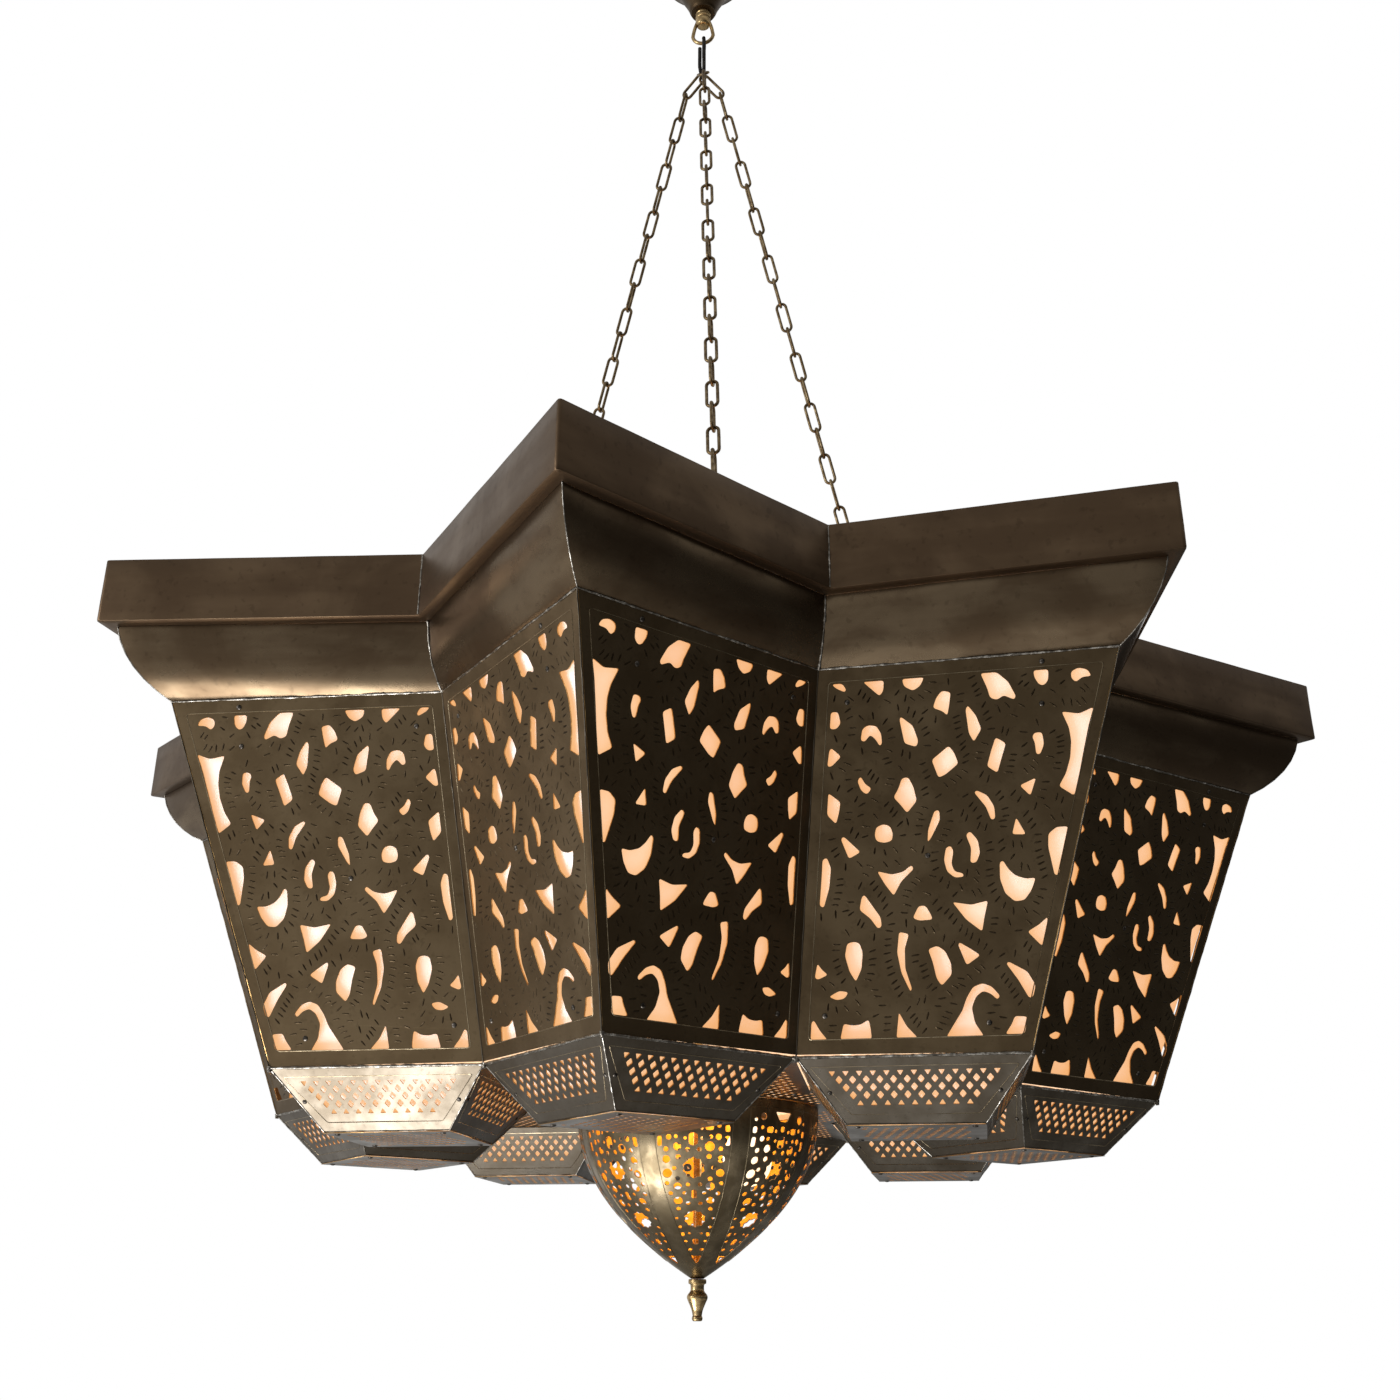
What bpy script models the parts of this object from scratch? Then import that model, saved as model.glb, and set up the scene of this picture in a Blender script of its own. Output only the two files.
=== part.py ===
"""A hanging star lantern in aged brass sheet, hung by three chains from a ceiling canopy.

Metres, +Z up. The origin is on the hanging axis, in the ceiling face, so the whole object lies below
z = 0. One tip of the eight-pointed star points along -Y.
"""

from math import atan2, cos, hypot, pi, radians, sin

import bmesh
import bpy
from mathutils import Matrix, Vector

# Driving dimensions, in metres. Levels of the lantern body are counted down from the fascia's top edge.
ARMS = 8
TIP_RADIUS = 0.600
VALLEY_RADIUS = 0.4285
FASCIA_HEIGHT = 0.0548
LIP_WIDTH = 0.013
WALL_TOP = (0.5315, 0.3939, 0.1081)  # tip radius, valley radius, depth
WALL_BOTTOM = (0.4168, 0.3157, 0.3911)
PLATE_DEPTH = 0.4364
PLATE_TIP = 0.3659
PLATE_SIDE = (0.2935, 0.0748)  # along the arm, and to each side of it
PLATE_INNER = 0.2144
HOPPER_INNER = 0.164

SHEET = 0.0010
PLATE_SHEET = 0.0015
GAP = 0.0003  # clear air between pieces that touch
LINER_INSET = 0.006
LINER_SHEET = 0.0008

TOP_Z = -1.032  # the fascia's top edge
DOME_RADIUS = 0.112
DOME_HEIGHT = 0.150
DOME_POWER = 2.2  # how pointed the dome is: 2 is a parabola
DOME_HOLE = 0.0055
DOME_STEPS = 12

BRACKET = (0.090, 0.020, 0.004)  # length, width, thickness
CANOPY_DEPTH = 0.070
CANOPY_NECK = 0.0152
STEM_RADIUS = 0.005
COLLAR_RADIUS = 0.0095
COLLAR_BOTTOM = -0.0915
LOOP_WIRE = 0.00225
LOOP_RADIUS = 0.01275  # to the middle of the wire
LOOP_CENTRE_Z = -0.106
HOOK_WIRE = 0.0023
HOOK_RADIUS = 0.0085
HOOK_BOTTOM_Z = -0.175
CHAIN_ANGLES = (12.5, 125.0, -112.5)  # degrees round from the front tip, towards +X
CHAIN_SPREAD = 0.277  # metres outwards for each metre down
CHAIN_APEX_Z = -0.105  # where the lines of the three chains would meet
CHAIN_BAR = 0.003
CHAIN_LINK = 0.036  # the length of the first link, where a chain bends out to its own line

FRAME_DEPTH = 0.012  # of the hanging frame's top face
FRAME_BAR = (0.020, 0.005)  # width and thickness of the flat bar
HUB_RADIUS = 0.035
BAR_SHARES = (0.8, 0.7)  # a spoke's width and thickness, as shares of the ring's
LUG = (0.016, 0.004, 0.022)  # width, thickness, height
LUG_HOLE = 0.0045
ROD_RADIUS = 0.004
CARRIER_DEPTH = 0.190
CARRIER_DISC = 0.030
CARRIER_REACH = 0.185
CARRIER_SHEET = 0.003
DOME_LAMP_OFFSET = 0.046
DOME_LAMP_RISE = 0.045  # of its arm above the base plate
CAP_INSET = 0.022  # how far a bulb's cap sits below its holder's top

ROUND = 32  # facets of a large turned piece
SMALL_ROUND = 16
WIRE_SIDES = 8

ARM_STEP = 2 * pi / ARMS


# ---------------------------------------------------------------- scene, materials and mesh helpers


def clear_scene():
    for obj in list(bpy.data.objects):
        bpy.data.objects.remove(obj, do_unlink=True)


def finish_of(name, colour, metallic, roughness):
    material = bpy.data.materials.new(name)
    material.use_nodes = True
    shader = material.node_tree.nodes["Principled BSDF"]
    shader.inputs["Base Color"].default_value = (*colour, 1.0)
    shader.inputs["Metallic"].default_value = metallic
    shader.inputs["Roughness"].default_value = roughness
    return material


def add_object(name, mesh, material, parent=None):
    obj = bpy.data.objects.new(name, mesh)
    bpy.context.scene.collection.objects.link(obj)
    obj.data.materials.append(material)
    if parent is not None:
        place = parent.matrix_world.copy()
        obj.parent = parent
        obj.matrix_parent_inverse = place.inverted()
    return obj


def pivot(name, place, parent=None):
    """An empty on a joint's axis, which carries what moves on that joint."""
    empty = bpy.data.objects.new(name, None)
    bpy.context.scene.collection.objects.link(empty)
    empty.empty_display_size = 0.05
    empty.location = place if parent is None else Vector(place) - parent.matrix_world.translation
    empty.parent = parent
    bpy.context.view_layer.update()
    return empty


def mesh_from(shape, name, smooth_below=None):
    bmesh.ops.recalc_face_normals(shape, faces=shape.faces)
    mesh = bpy.data.meshes.new(name)
    shape.to_mesh(mesh)
    shape.free()
    if smooth_below is not None:
        mesh.shade_smooth()
        mesh.set_sharp_from_angle(angle=radians(smooth_below))
    return mesh


def loft(rings, name, closed_profile=True, smooth_below=None):
    """Faces between each ring of points and the next. A closed profile joins the last to the first."""
    shape = bmesh.new()
    made = [[shape.verts.new(point) for point in ring] for ring in rings]
    count = len(made)
    for index in range(count if closed_profile else count - 1):
        here, there = made[index], made[(index + 1) % count]
        for step in range(len(here)):
            after = (step + 1) % len(here)
            shape.faces.new((here[step], here[after], there[after], there[step]))
    if not closed_profile:
        shape.faces.new(made[0])
        shape.faces.new(made[-1])
    return mesh_from(shape, name, smooth_below)


def prism(outline, bottom, top, name):
    rings = [[Vector((x, y, level)) for x, y in outline] for level in (bottom, top)]
    return loft(rings, name, closed_profile=False)


def circle(radius, level, count):
    turns = (2 * pi * step / count for step in range(count))
    return [Vector((radius * cos(turn), radius * sin(turn), level)) for turn in turns]


def turned(profile, name, count=ROUND, closed_profile=True):
    """A profile of (radius, z) points turned about Z. An open one is capped flat at both ends."""
    return loft([circle(r, z, count) for r, z in profile], name, closed_profile, smooth_below=35)


def swept(path, radius, side, name, closed_path=False):
    """A round bar along a path that bends about one side direction."""
    side = Vector(side).normalized()
    rings = []
    for index, point in enumerate(path):
        if closed_path:
            ahead, behind = path[(index + 1) % len(path)], path[index - 1]
        else:
            ahead, behind = path[min(index + 1, len(path) - 1)], path[max(index - 1, 0)]
        across = (Vector(ahead) - Vector(behind)).normalized().cross(side).normalized()
        turns = (2 * pi * step / WIRE_SIDES for step in range(WIRE_SIDES))
        rings.append(
            [Vector(point) + radius * (cos(turn) * side + sin(turn) * across) for turn in turns]
        )
    return loft(rings, name, closed_profile=closed_path, smooth_below=60)


def box(width, depth, height, centre, turn, name):
    """A box whose width lies along the direction turn, in radians about Z."""
    shape = bmesh.new()
    bmesh.ops.create_cube(shape, size=1.0)
    bmesh.ops.scale(shape, vec=(width, depth, height), verts=shape.verts)
    bmesh.ops.rotate(shape, matrix=Matrix.Rotation(turn, 3, "Z"), verts=shape.verts)
    bmesh.ops.translate(shape, vec=centre, verts=shape.verts)
    return mesh_from(shape, name)


def merged(meshes, name):
    """Several meshes that stay clear of each other, in one, for use as a Boolean's helper."""
    shape = bmesh.new()
    for mesh in meshes:
        shape.from_mesh(mesh)
    return mesh_from(shape, name)


def boolean(target, mesh, operation):
    helper = add_object(mesh.name, mesh, target.data.materials[0])
    helper.hide_render = True
    helper.display_type = "WIRE"
    step = target.modifiers.new(f"{operation.lower()} {mesh.name}", "BOOLEAN")
    step.operation = operation
    step.solver = "EXACT"
    step.object = helper


# ---------------------------------------------------------------- the star's plan geometry


def bearing(degrees_round):
    """The direction at an angle from -Y towards +X."""
    turn = radians(degrees_round)
    return Vector((sin(turn), -cos(turn), 0.0))


def arm_axes(arm):
    """The outward and sideways directions of an arm."""
    outward = bearing(45.0 * arm)
    return outward, Vector((-outward.y, outward.x, 0.0))


def star_point(radius, half_steps, level):
    return bearing(22.5 * half_steps) * radius + Vector((0.0, 0.0, level))


def star_ring(tip, valley, level):
    """Tips on even half steps, valleys on odd ones."""
    return [star_point(valley if step % 2 else tip, step, level) for step in range(2 * ARMS)]


def side_shares(tip, valley):
    """How much of a step along the tip's radius, and along the valley's, goes square to a side."""
    along_tip = Vector((tip, 0.0))
    along_valley = Vector((valley * cos(ARM_STEP / 2), valley * sin(ARM_STEP / 2)))
    side = (along_valley - along_tip).normalized()
    normal = Vector((side.y, -side.x))
    return normal.x, normal.dot(along_valley.normalized())


def inset_star(tip, valley, inset):
    """The tip and valley radii once every side has moved in by the inset."""
    tip_share, valley_share = side_shares(tip, valley)
    return tip - inset / tip_share, valley - inset / valley_share


def body_z(depth):
    return TOP_Z - depth


# ---------------------------------------------------------------- ceiling fitting


def ceiling_bracket(material):
    return add_object(
        "ceiling_bracket",
        box(*BRACKET, (0.0, 0.0, -BRACKET[2] / 2), 0.0, "ceiling_bracket"),
        material,
    )


def canopy(material):
    """A bell of thin sheet, open above, with a hole in its neck for the stem."""
    rim = -SHEET / 2
    outside = [
        (CANOPY_NECK, -CANOPY_DEPTH),
        (0.0170, -0.0665),
        (0.0248, -0.0470),
        (0.0350, -0.0270),
        (0.0450, -0.0130),
        (0.0525, -0.0060),
        (0.0550, -0.0030),
        (0.0550, rim),
    ]
    inside = [(r - SHEET, min(z + SHEET, rim)) for r, z in reversed(outside)]
    floor = [
        (STEM_RADIUS + GAP * 2, -CANOPY_DEPTH + SHEET),
        (STEM_RADIUS + GAP * 2, -CANOPY_DEPTH),
    ]
    return add_object("canopy", turned(outside + inside + floor, "canopy"), material)


def canopy_stem(material):
    profile = [(STEM_RADIUS, -CANOPY_DEPTH), (STEM_RADIUS, -BRACKET[2] - GAP)]
    return add_object("canopy_stem", turned(profile, "canopy_stem", SMALL_ROUND, False), material)


def loop(material, parent):
    top = -CANOPY_DEPTH - GAP
    profile = [
        (COLLAR_RADIUS * 0.7, COLLAR_BOTTOM),
        (COLLAR_RADIUS * 0.95, COLLAR_BOTTOM + 0.002),
        (COLLAR_RADIUS, COLLAR_BOTTOM + 0.007),
        (COLLAR_RADIUS * 0.9, top - 0.004),
        (COLLAR_RADIUS, top),
    ]
    eye = add_object("loop", turned(profile, "loop", SMALL_ROUND, False), material, parent)
    bend = [
        Vector((LOOP_RADIUS * cos(turn), 0.0, LOOP_CENTRE_Z + LOOP_RADIUS * sin(turn)))
        for turn in (radians(angle) for angle in range(-180, 1, 15))
    ]
    shoulder = Vector((COLLAR_RADIUS * 0.80, 0.0, COLLAR_BOTTOM + 0.011))
    mirrored = Vector((-shoulder.x, 0.0, shoulder.z))
    halfway = Vector((LOOP_RADIUS * 0.96, 0.0, LOOP_CENTRE_Z + 0.008))
    path = [mirrored, Vector((-halfway.x, 0.0, halfway.z)), *bend, halfway, shoulder]
    boolean(eye, swept(path, LOOP_WIRE, (0, 1, 0), "loop_ring"), "UNION")
    return eye


def hook(material, parent):
    """A long open link: its two ends pass each other half way up one side."""
    low = HOOK_BOTTOM_Z + HOOK_WIRE + HOOK_RADIUS
    high = loop_rest_z() - HOOK_RADIUS
    middle = (low + high) / 2
    lift = 1.1 * HOOK_WIRE  # of each end off the link's own plane
    overlap = 0.008
    path = [Vector((lift, -HOOK_RADIUS, middle - overlap))]
    for angle in range(180, -1, -20):
        turn = radians(angle)
        x = lift * angle / 180
        path.append(Vector((x, HOOK_RADIUS * cos(turn), high + HOOK_RADIUS * sin(turn))))
    for angle in range(0, -181, -20):
        turn = radians(angle)
        x = lift * angle / 180
        path.append(Vector((x, HOOK_RADIUS * cos(turn), low + HOOK_RADIUS * sin(turn))))
    path.append(Vector((-lift, -HOOK_RADIUS, middle + overlap)))
    return add_object("hook", swept(path, HOOK_WIRE, (1, 0, 0), "hook"), material, parent)


def loop_rest_z():
    """The middle of the hook's wire where it hangs over the loop's lowest point."""
    return LOOP_CENTRE_Z - LOOP_RADIUS + LOOP_WIRE + GAP + HOOK_WIRE


def loop_bottom_z():
    return LOOP_CENTRE_Z - LOOP_RADIUS


def hook_bottom_z():
    return HOOK_BOTTOM_Z + HOOK_WIRE


def chain_radius(level):
    return CHAIN_SPREAD * (CHAIN_APEX_Z - level)


def chain(number, angle, material, parent):
    """A taut chain as one bar; it leaves the hook, clears its neighbours and runs to its lug."""
    outward = bearing(angle)
    start_radius, start_z = 0.0045, HOOK_BOTTOM_Z - 2 * CHAIN_BAR
    bend_z = HOOK_BOTTOM_Z - CHAIN_LINK
    end_z = body_z(FRAME_DEPTH) + LUG[2] + 1.5 * CHAIN_BAR
    stations = [
        (start_radius, start_z),
        (chain_radius(bend_z), bend_z),
        (chain_radius(end_z), end_z),
    ]
    path = [outward * radius + Vector((0.0, 0.0, level)) for radius, level in stations]
    side = (-outward.y, outward.x, 0.0)
    name = f"chain_{number}"
    return add_object(name, swept(path, CHAIN_BAR, side, name), material, parent)


# ---------------------------------------------------------------- lantern body


def top_frame(material, parent):
    """Welded flat bar: a ring with a lug for each chain, a hub, and a spoke to every valley."""
    width, thickness = FRAME_BAR
    ring_radius = chain_radius(body_z(0.0))
    top, bottom = body_z(FRAME_DEPTH), body_z(FRAME_DEPTH) - thickness
    outer, inner = ring_radius + width / 2, ring_radius - width / 2
    profile = [(outer, top), (outer, bottom), (inner, bottom), (inner, top)]
    frame = add_object("top_frame", turned(profile, "top_frame"), material, parent)
    middle = (top + bottom) / 2
    bar_width, bar_thickness = width * BAR_SHARES[0], thickness * BAR_SHARES[1]
    spoke_end = inset_star(TIP_RADIUS, VALLEY_RADIUS, SHEET + 2 * GAP)[1]
    spokes = []
    for step in range(1, 2 * ARMS, 2):
        outward = bearing(22.5 * step)
        length = spoke_end - ring_radius
        centre = outward * (ring_radius + length / 2) + Vector((0.0, 0.0, middle))
        turn = atan2(outward.y, outward.x)
        spokes.append(box(length, bar_width, bar_thickness, centre, turn, f"spoke_{step}"))
    boolean(frame, merged(spokes, "frame_spokes"), "UNION")
    bars = []
    bar_start = HUB_RADIUS * 0.7
    for quarter in range(4):
        outward = bearing(90.0 * quarter)
        length = ring_radius - bar_start
        centre = outward * (bar_start + length / 2) + Vector((0.0, 0.0, middle))
        turn = atan2(outward.y, outward.x)
        bars.append(box(length, bar_width, bar_thickness, centre, turn, f"bar_{quarter}"))
    boolean(frame, merged(bars, "frame_bars"), "UNION")
    hub_half = thickness * 0.6
    hub = [
        (HUB_RADIUS, middle + hub_half),
        (HUB_RADIUS, middle - hub_half),
        (ROD_RADIUS + GAP, middle - hub_half),
        (ROD_RADIUS + GAP, middle + hub_half),
    ]
    boolean(frame, turned(hub, "frame_hub"), "UNION")
    lugs, holes = [], []
    for number, angle in enumerate(CHAIN_ANGLES):
        outward = bearing(angle)
        turn = atan2(outward.y, outward.x) + pi / 2
        height = LUG[2] + thickness / 2
        centre = outward * ring_radius + Vector((0.0, 0.0, middle + height / 2))
        lugs.append(box(LUG[0], LUG[1], height, centre, turn, f"lug_{number}"))
        hole = circle(LUG_HOLE, 0.0, WIRE_SIDES)
        face = Matrix.Rotation(turn, 4, "Z") @ Matrix.Rotation(pi / 2, 4, "X")
        eye = outward * ring_radius + Vector((0.0, 0.0, top + LUG[2] - LUG_HOLE - 0.004))
        ends = [
            [face @ point + eye + outward * reach for point in hole] for reach in (-LUG[1], LUG[1])
        ]
        holes.append(loft(ends, f"lug_hole_{number}", closed_profile=False))
    boolean(frame, merged(lugs, "frame_lugs"), "UNION")
    boolean(frame, merged(holes, "frame_lug_holes"), "DIFFERENCE")
    return frame


def fascia(material, parent):
    """The plain upright band, with its narrow lip folded in underneath."""
    inner = inset_star(TIP_RADIUS, VALLEY_RADIUS, SHEET)
    lip = inset_star(TIP_RADIUS, VALLEY_RADIUS, LIP_WIDTH)
    bottom = body_z(FASCIA_HEIGHT)
    rings = [
        star_ring(TIP_RADIUS, VALLEY_RADIUS, TOP_Z),
        star_ring(TIP_RADIUS, VALLEY_RADIUS, bottom),
        star_ring(*lip, bottom),
        star_ring(*lip, bottom + SHEET),
        star_ring(*inner, bottom + SHEET),
        star_ring(*inner, TOP_Z),
    ]
    return add_object("fascia", loft(rings, "fascia"), material, parent)


def cove_sections(steps=7):
    """(tip, valley, depth) down the convex moulding, which starts nearly upright and ends at a slant."""
    first, last = radians(8.0), radians(58.0)
    top_tip, top_valley = inset_star(TIP_RADIUS, VALLEY_RADIUS, LIP_WIDTH - 0.002)
    top_depth = FASCIA_HEIGHT + GAP
    tip, valley, depth = WALL_TOP
    sections = []
    for step in range(steps):
        turn = first + (last - first) * step / (steps - 1)
        inwards = (cos(first) - cos(turn)) / (cos(first) - cos(last))
        down = (sin(turn) - sin(first)) / (sin(last) - sin(first))
        sections.append(
            (
                top_tip + (tip - top_tip) * inwards,
                top_valley + (valley - top_valley) * inwards,
                top_depth + (depth - top_depth) * down,
            )
        )
    return sections


def cove(material, parent):
    sections = cove_sections()
    outside = [star_ring(tip, valley, body_z(depth)) for tip, valley, depth in sections]
    inside = [
        star_ring(*inset_star(tip, valley, SHEET * 1.2), body_z(depth))
        for tip, valley, depth in reversed(sections)
    ]
    return add_object("cove", loft(outside + inside, "cove"), material, parent)


def wall_corners(half_step, level, inset):
    """The tip and valley ends of one side of the wall, each pulled a little clear of the arris."""
    tip_radius, valley_radius, depth = level
    tip_radius, valley_radius = inset_star(tip_radius, valley_radius, inset)
    tip_step = half_step if half_step % 2 == 0 else half_step + 1
    valley_step = half_step + 1 if half_step % 2 == 0 else half_step
    tip = star_point(tip_radius, tip_step, body_z(depth))
    valley = star_point(valley_radius, valley_step, body_z(depth))
    along = (valley - tip).normalized() * GAP
    return tip + along, valley - along


def wall_panel(half_step, material, parent):
    """One flat tapering side of an arm. Its thickness leans with the wall."""
    tip, valley, depth = WALL_TOP
    top = (tip, valley, depth + GAP)
    low_tip, low_valley, low_depth = WALL_BOTTOM
    bottom = (low_tip, low_valley, low_depth - GAP)
    inwards = (tip - low_tip) * side_shares(tip, valley)[0]
    lean = hypot(1.0, inwards / (low_depth - depth))
    faces = []
    for inset in (0.0, SHEET * lean):
        upper = wall_corners(half_step, top, inset)
        lower = wall_corners(half_step, bottom, inset)
        faces.append([upper[0], upper[1], lower[1], lower[0]])
    arm, side = divmod(half_step, 2)
    number = (arm + side) % ARMS + 1
    name = f"wall_panel_{number}{'ab'[side]}"
    return add_object(name, loft(faces, name, closed_profile=False), material, parent)


def wall_liner(material, parent):
    """The folded translucent sheet that stands behind the panels."""
    rings = []
    for inset, order in ((LINER_INSET, 1), (LINER_INSET + LINER_SHEET, -1)):
        for tip, valley, depth, trim in (
            (*WALL_TOP, 0.004),
            (*WALL_BOTTOM, -0.004),
        )[::order]:
            rings.append(star_ring(*inset_star(tip, valley, inset), body_z(depth + trim)))
    return add_object("wall_liner", loft(rings, "wall_liner"), material, parent)


def rhombus(arm, tip, side_out, side_across, inner, level):
    outward, sideways = arm_axes(arm)
    height = Vector((0.0, 0.0, level))
    return [
        outward * tip + height,
        outward * side_out + sideways * side_across + height,
        outward * inner + height,
        outward * side_out - sideways * side_across + height,
    ]


def shrunk(corners, inset):
    """A rhombus or a star with every side moved in by the inset."""
    centre = sum(corners, Vector()) / len(corners)
    count = len(corners)
    moved = []
    for index, corner in enumerate(corners):
        before = (corners[index - 1] - corner).normalized()
        after = (corners[(index + 1) % count] - corner).normalized()
        inwards = (before + after).normalized()
        if inwards.dot(centre - corner) < 0:
            inwards = -inwards
        sine = abs(before.cross(inwards).z)
        moved.append(corner + inwards * inset / sine)
    return moved


def hopper(arm, material, parent):
    """The four-sided tapering foot of an arm, open above and below."""
    tip, valley, depth = WALL_BOTTOM
    side_out, side_across = valley * cos(ARM_STEP / 2), valley * sin(ARM_STEP / 2)
    top = rhombus(arm, tip, side_out, side_across, HOPPER_INNER, body_z(depth) - GAP)
    bottom = rhombus(arm, PLATE_TIP, *PLATE_SIDE, PLATE_INNER, body_z(PLATE_DEPTH))
    top = shrunk(top, 2 * GAP)
    slant = SHEET * 1.3
    rings = [top, bottom, shrunk(bottom, slant), shrunk(top, slant)]
    name = f"hopper_{arm + 1}"
    return add_object(name, loft(rings, name), material, parent)


def bottom_plate(arm, material, parent):
    """The flat pierced plate that closes a hopper."""
    top = body_z(PLATE_DEPTH) - GAP
    corners = rhombus(arm, PLATE_TIP, *PLATE_SIDE, PLATE_INNER, top)
    outline = [(corner.x, corner.y) for corner in shrunk(corners, -GAP)]
    name = f"bottom_plate_{arm + 1}"
    return add_object(name, prism(outline, top - SHEET, top, name), material, parent)


def base_plate(material, parent):
    """The star-shaped floor between the hoppers, with the dome's round opening in it."""
    valley, depth = WALL_BOTTOM[1:]
    top = body_z(depth) - GAP
    opening = DOME_RADIUS - 2 * PLATE_SHEET
    rings = []
    for level, order in ((top, 1), (top - PLATE_SHEET, -1)):
        edge = shrunk(star_ring(HOPPER_INNER, valley, level), 2 * GAP)
        rings.extend((edge, star_ring(opening, opening, level))[::order])
    return add_object("base_plate", loft(rings, "base_plate"), material, parent)


# ---------------------------------------------------------------- lamps


def centre_rod(material, parent):
    """The tie rod: it hangs in the frame's hub and ends inside the dome's tip."""
    top = body_z(FRAME_DEPTH) + 0.010
    bottom = dome_tip_z() + 2 * GAP
    mesh = turned([(ROD_RADIUS, bottom), (ROD_RADIUS, top)], "centre_rod", SMALL_ROUND, False)
    return add_object("centre_rod", mesh, material, parent)


def lamp_carrier(material, parent):
    """A small cross on the rod: each arm carries one lampholder, cap down."""
    top = body_z(CARRIER_DEPTH)
    disc = [
        (CARRIER_DISC, top),
        (CARRIER_DISC, carrier_bottom()),
        (ROD_RADIUS + GAP, carrier_bottom()),
        (ROD_RADIUS + GAP, top),
    ]
    cross = add_object(
        "lamp_carrier", turned(disc, "lamp_carrier", SMALL_ROUND), material, parent
    )
    arms = []
    start = CARRIER_DISC * 0.75
    length = CARRIER_REACH + 0.012 - start
    for quarter in range(4):
        outward = bearing(90.0 * quarter + 45.0)
        level = Vector((0.0, 0.0, (top + carrier_bottom()) / 2))
        centre = outward * (start + length / 2) + level
        turn = atan2(outward.y, outward.x)
        arms.append(box(length, 0.016, CARRIER_SHEET, centre, turn, f"carrier_arm_{quarter}"))
    boolean(cross, merged(arms, "carrier_arms"), "UNION")
    return cross


def carrier_bottom():
    return body_z(CARRIER_DEPTH) - CARRIER_SHEET * 1.2


def lampholder(name, place, top, material, parent):
    """A screw lampholder: a skirted cup, open below for the bulb's cap."""
    profile = [
        (0.012, top),
        (0.0165, top - 0.004),
        (0.0195, top - 0.020),
        (0.0195, top - 0.052),
        (0.0175, top - 0.052),
        (0.0175, top - 0.018),
        (0.004, top - 0.018),
        (0.004, top),
    ]
    mesh = turned(profile, name, SMALL_ROUND)
    mesh.transform(Matrix.Translation((place.x, place.y, 0.0)))
    return add_object(name, mesh, material, parent)


def bulb(name, place, top, material, parent, size=1.0):
    """A lamp bulb hanging cap up: its cap sits in the holder, its globe hangs below."""
    profile = [
        (0.0060, top),
        (0.0130, top - 0.003),
        (0.0130, top - 0.026),
        (0.0160 * size, top - 0.036 - 0.004 * size),
        (0.0270 * size, top - 0.036 - 0.026 * size),
        (0.0300 * size, top - 0.036 - 0.042 * size),
        (0.0270 * size, top - 0.036 - 0.057 * size),
        (0.0170 * size, top - 0.036 - 0.068 * size),
        (0.0060 * size, top - 0.036 - 0.072 * size),
    ]
    mesh = turned(profile[::-1], name, SMALL_ROUND, False)
    mesh.transform(Matrix.Translation((place.x, place.y, 0.0)))
    return add_object(name, mesh, material, parent)


def dome_lamp_arm(material, parent):
    """A strip clamped to the rod, which carries the lampholder that lights the dome."""
    top = dome_lamp_z()
    start, end = -0.012, DOME_LAMP_OFFSET + 0.016
    centre = ((start + end) / 2, 0.0, top - CARRIER_SHEET / 2)
    strip = box(end - start, 0.018, CARRIER_SHEET, centre, 0.0, "dome_lamp_arm")
    arm = add_object("dome_lamp_arm", strip, material, parent)
    hole = turned(
        [(ROD_RADIUS + GAP, top - 0.010), (ROD_RADIUS + GAP, top + 0.010)],
        "dome_lamp_arm_hole",
        SMALL_ROUND,
        False,
    )
    boolean(arm, hole, "DIFFERENCE")
    return arm


def dome_lamp_z():
    return body_z(WALL_BOTTOM[2]) + DOME_LAMP_RISE


# ---------------------------------------------------------------- dome and finial


def dome_top_z():
    return body_z(WALL_BOTTOM[2]) - PLATE_SHEET - 2 * GAP


def dome_depth(radius, height, at_radius):
    """How far below the rim the dome's curve has narrowed to a radius."""
    return height * (1 - at_radius / radius) ** (1 / DOME_POWER)


def dome_tip_z():
    return dome_top_z() - dome_depth(DOME_RADIUS, DOME_HEIGHT, DOME_HOLE)


def dome_profile(radius, height):
    """(radius, depth) from the rim down to where the curve reaches the rod's hole."""
    last = dome_depth(radius, height, DOME_HOLE)
    stations = [last * sin(pi / 2 * step / DOME_STEPS) for step in range(DOME_STEPS + 1)]
    return [(radius * (1 - (depth / height) ** DOME_POWER), depth) for depth in stations]


def dome(material, parent):
    top = dome_top_z()
    outside = dome_profile(DOME_RADIUS, DOME_HEIGHT)
    inside = dome_profile(DOME_RADIUS - SHEET, DOME_HEIGHT - 2 * SHEET)
    profile = [(radius, top - depth) for radius, depth in outside]
    profile += [(radius, top - depth) for radius, depth in reversed(inside)]
    return add_object("dome", turned(profile, "dome"), material, parent)


def finial(material, parent):
    """Turned brass: a collar, a waist, a bulge, a long taper and a button end."""
    top = dome_tip_z() - GAP
    profile = [
        (0.0080, 0.0),
        (0.0080, 0.0025),
        (0.0060, 0.0045),
        (0.0060, 0.0085),
        (0.0078, 0.0110),
        (0.0094, 0.0150),
        (0.0078, 0.0195),
        (0.0050, 0.0260),
        (0.0042, 0.0300),
        (0.0047, 0.0315),
        (0.0042, 0.0340),
        (0.0020, 0.0350),
    ]
    outline = [(radius, top - depth) for radius, depth in reversed(profile)]
    return add_object("finial", turned(outline, "finial", 24, False), material, parent)


# ---------------------------------------------------------------- the whole lantern


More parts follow.
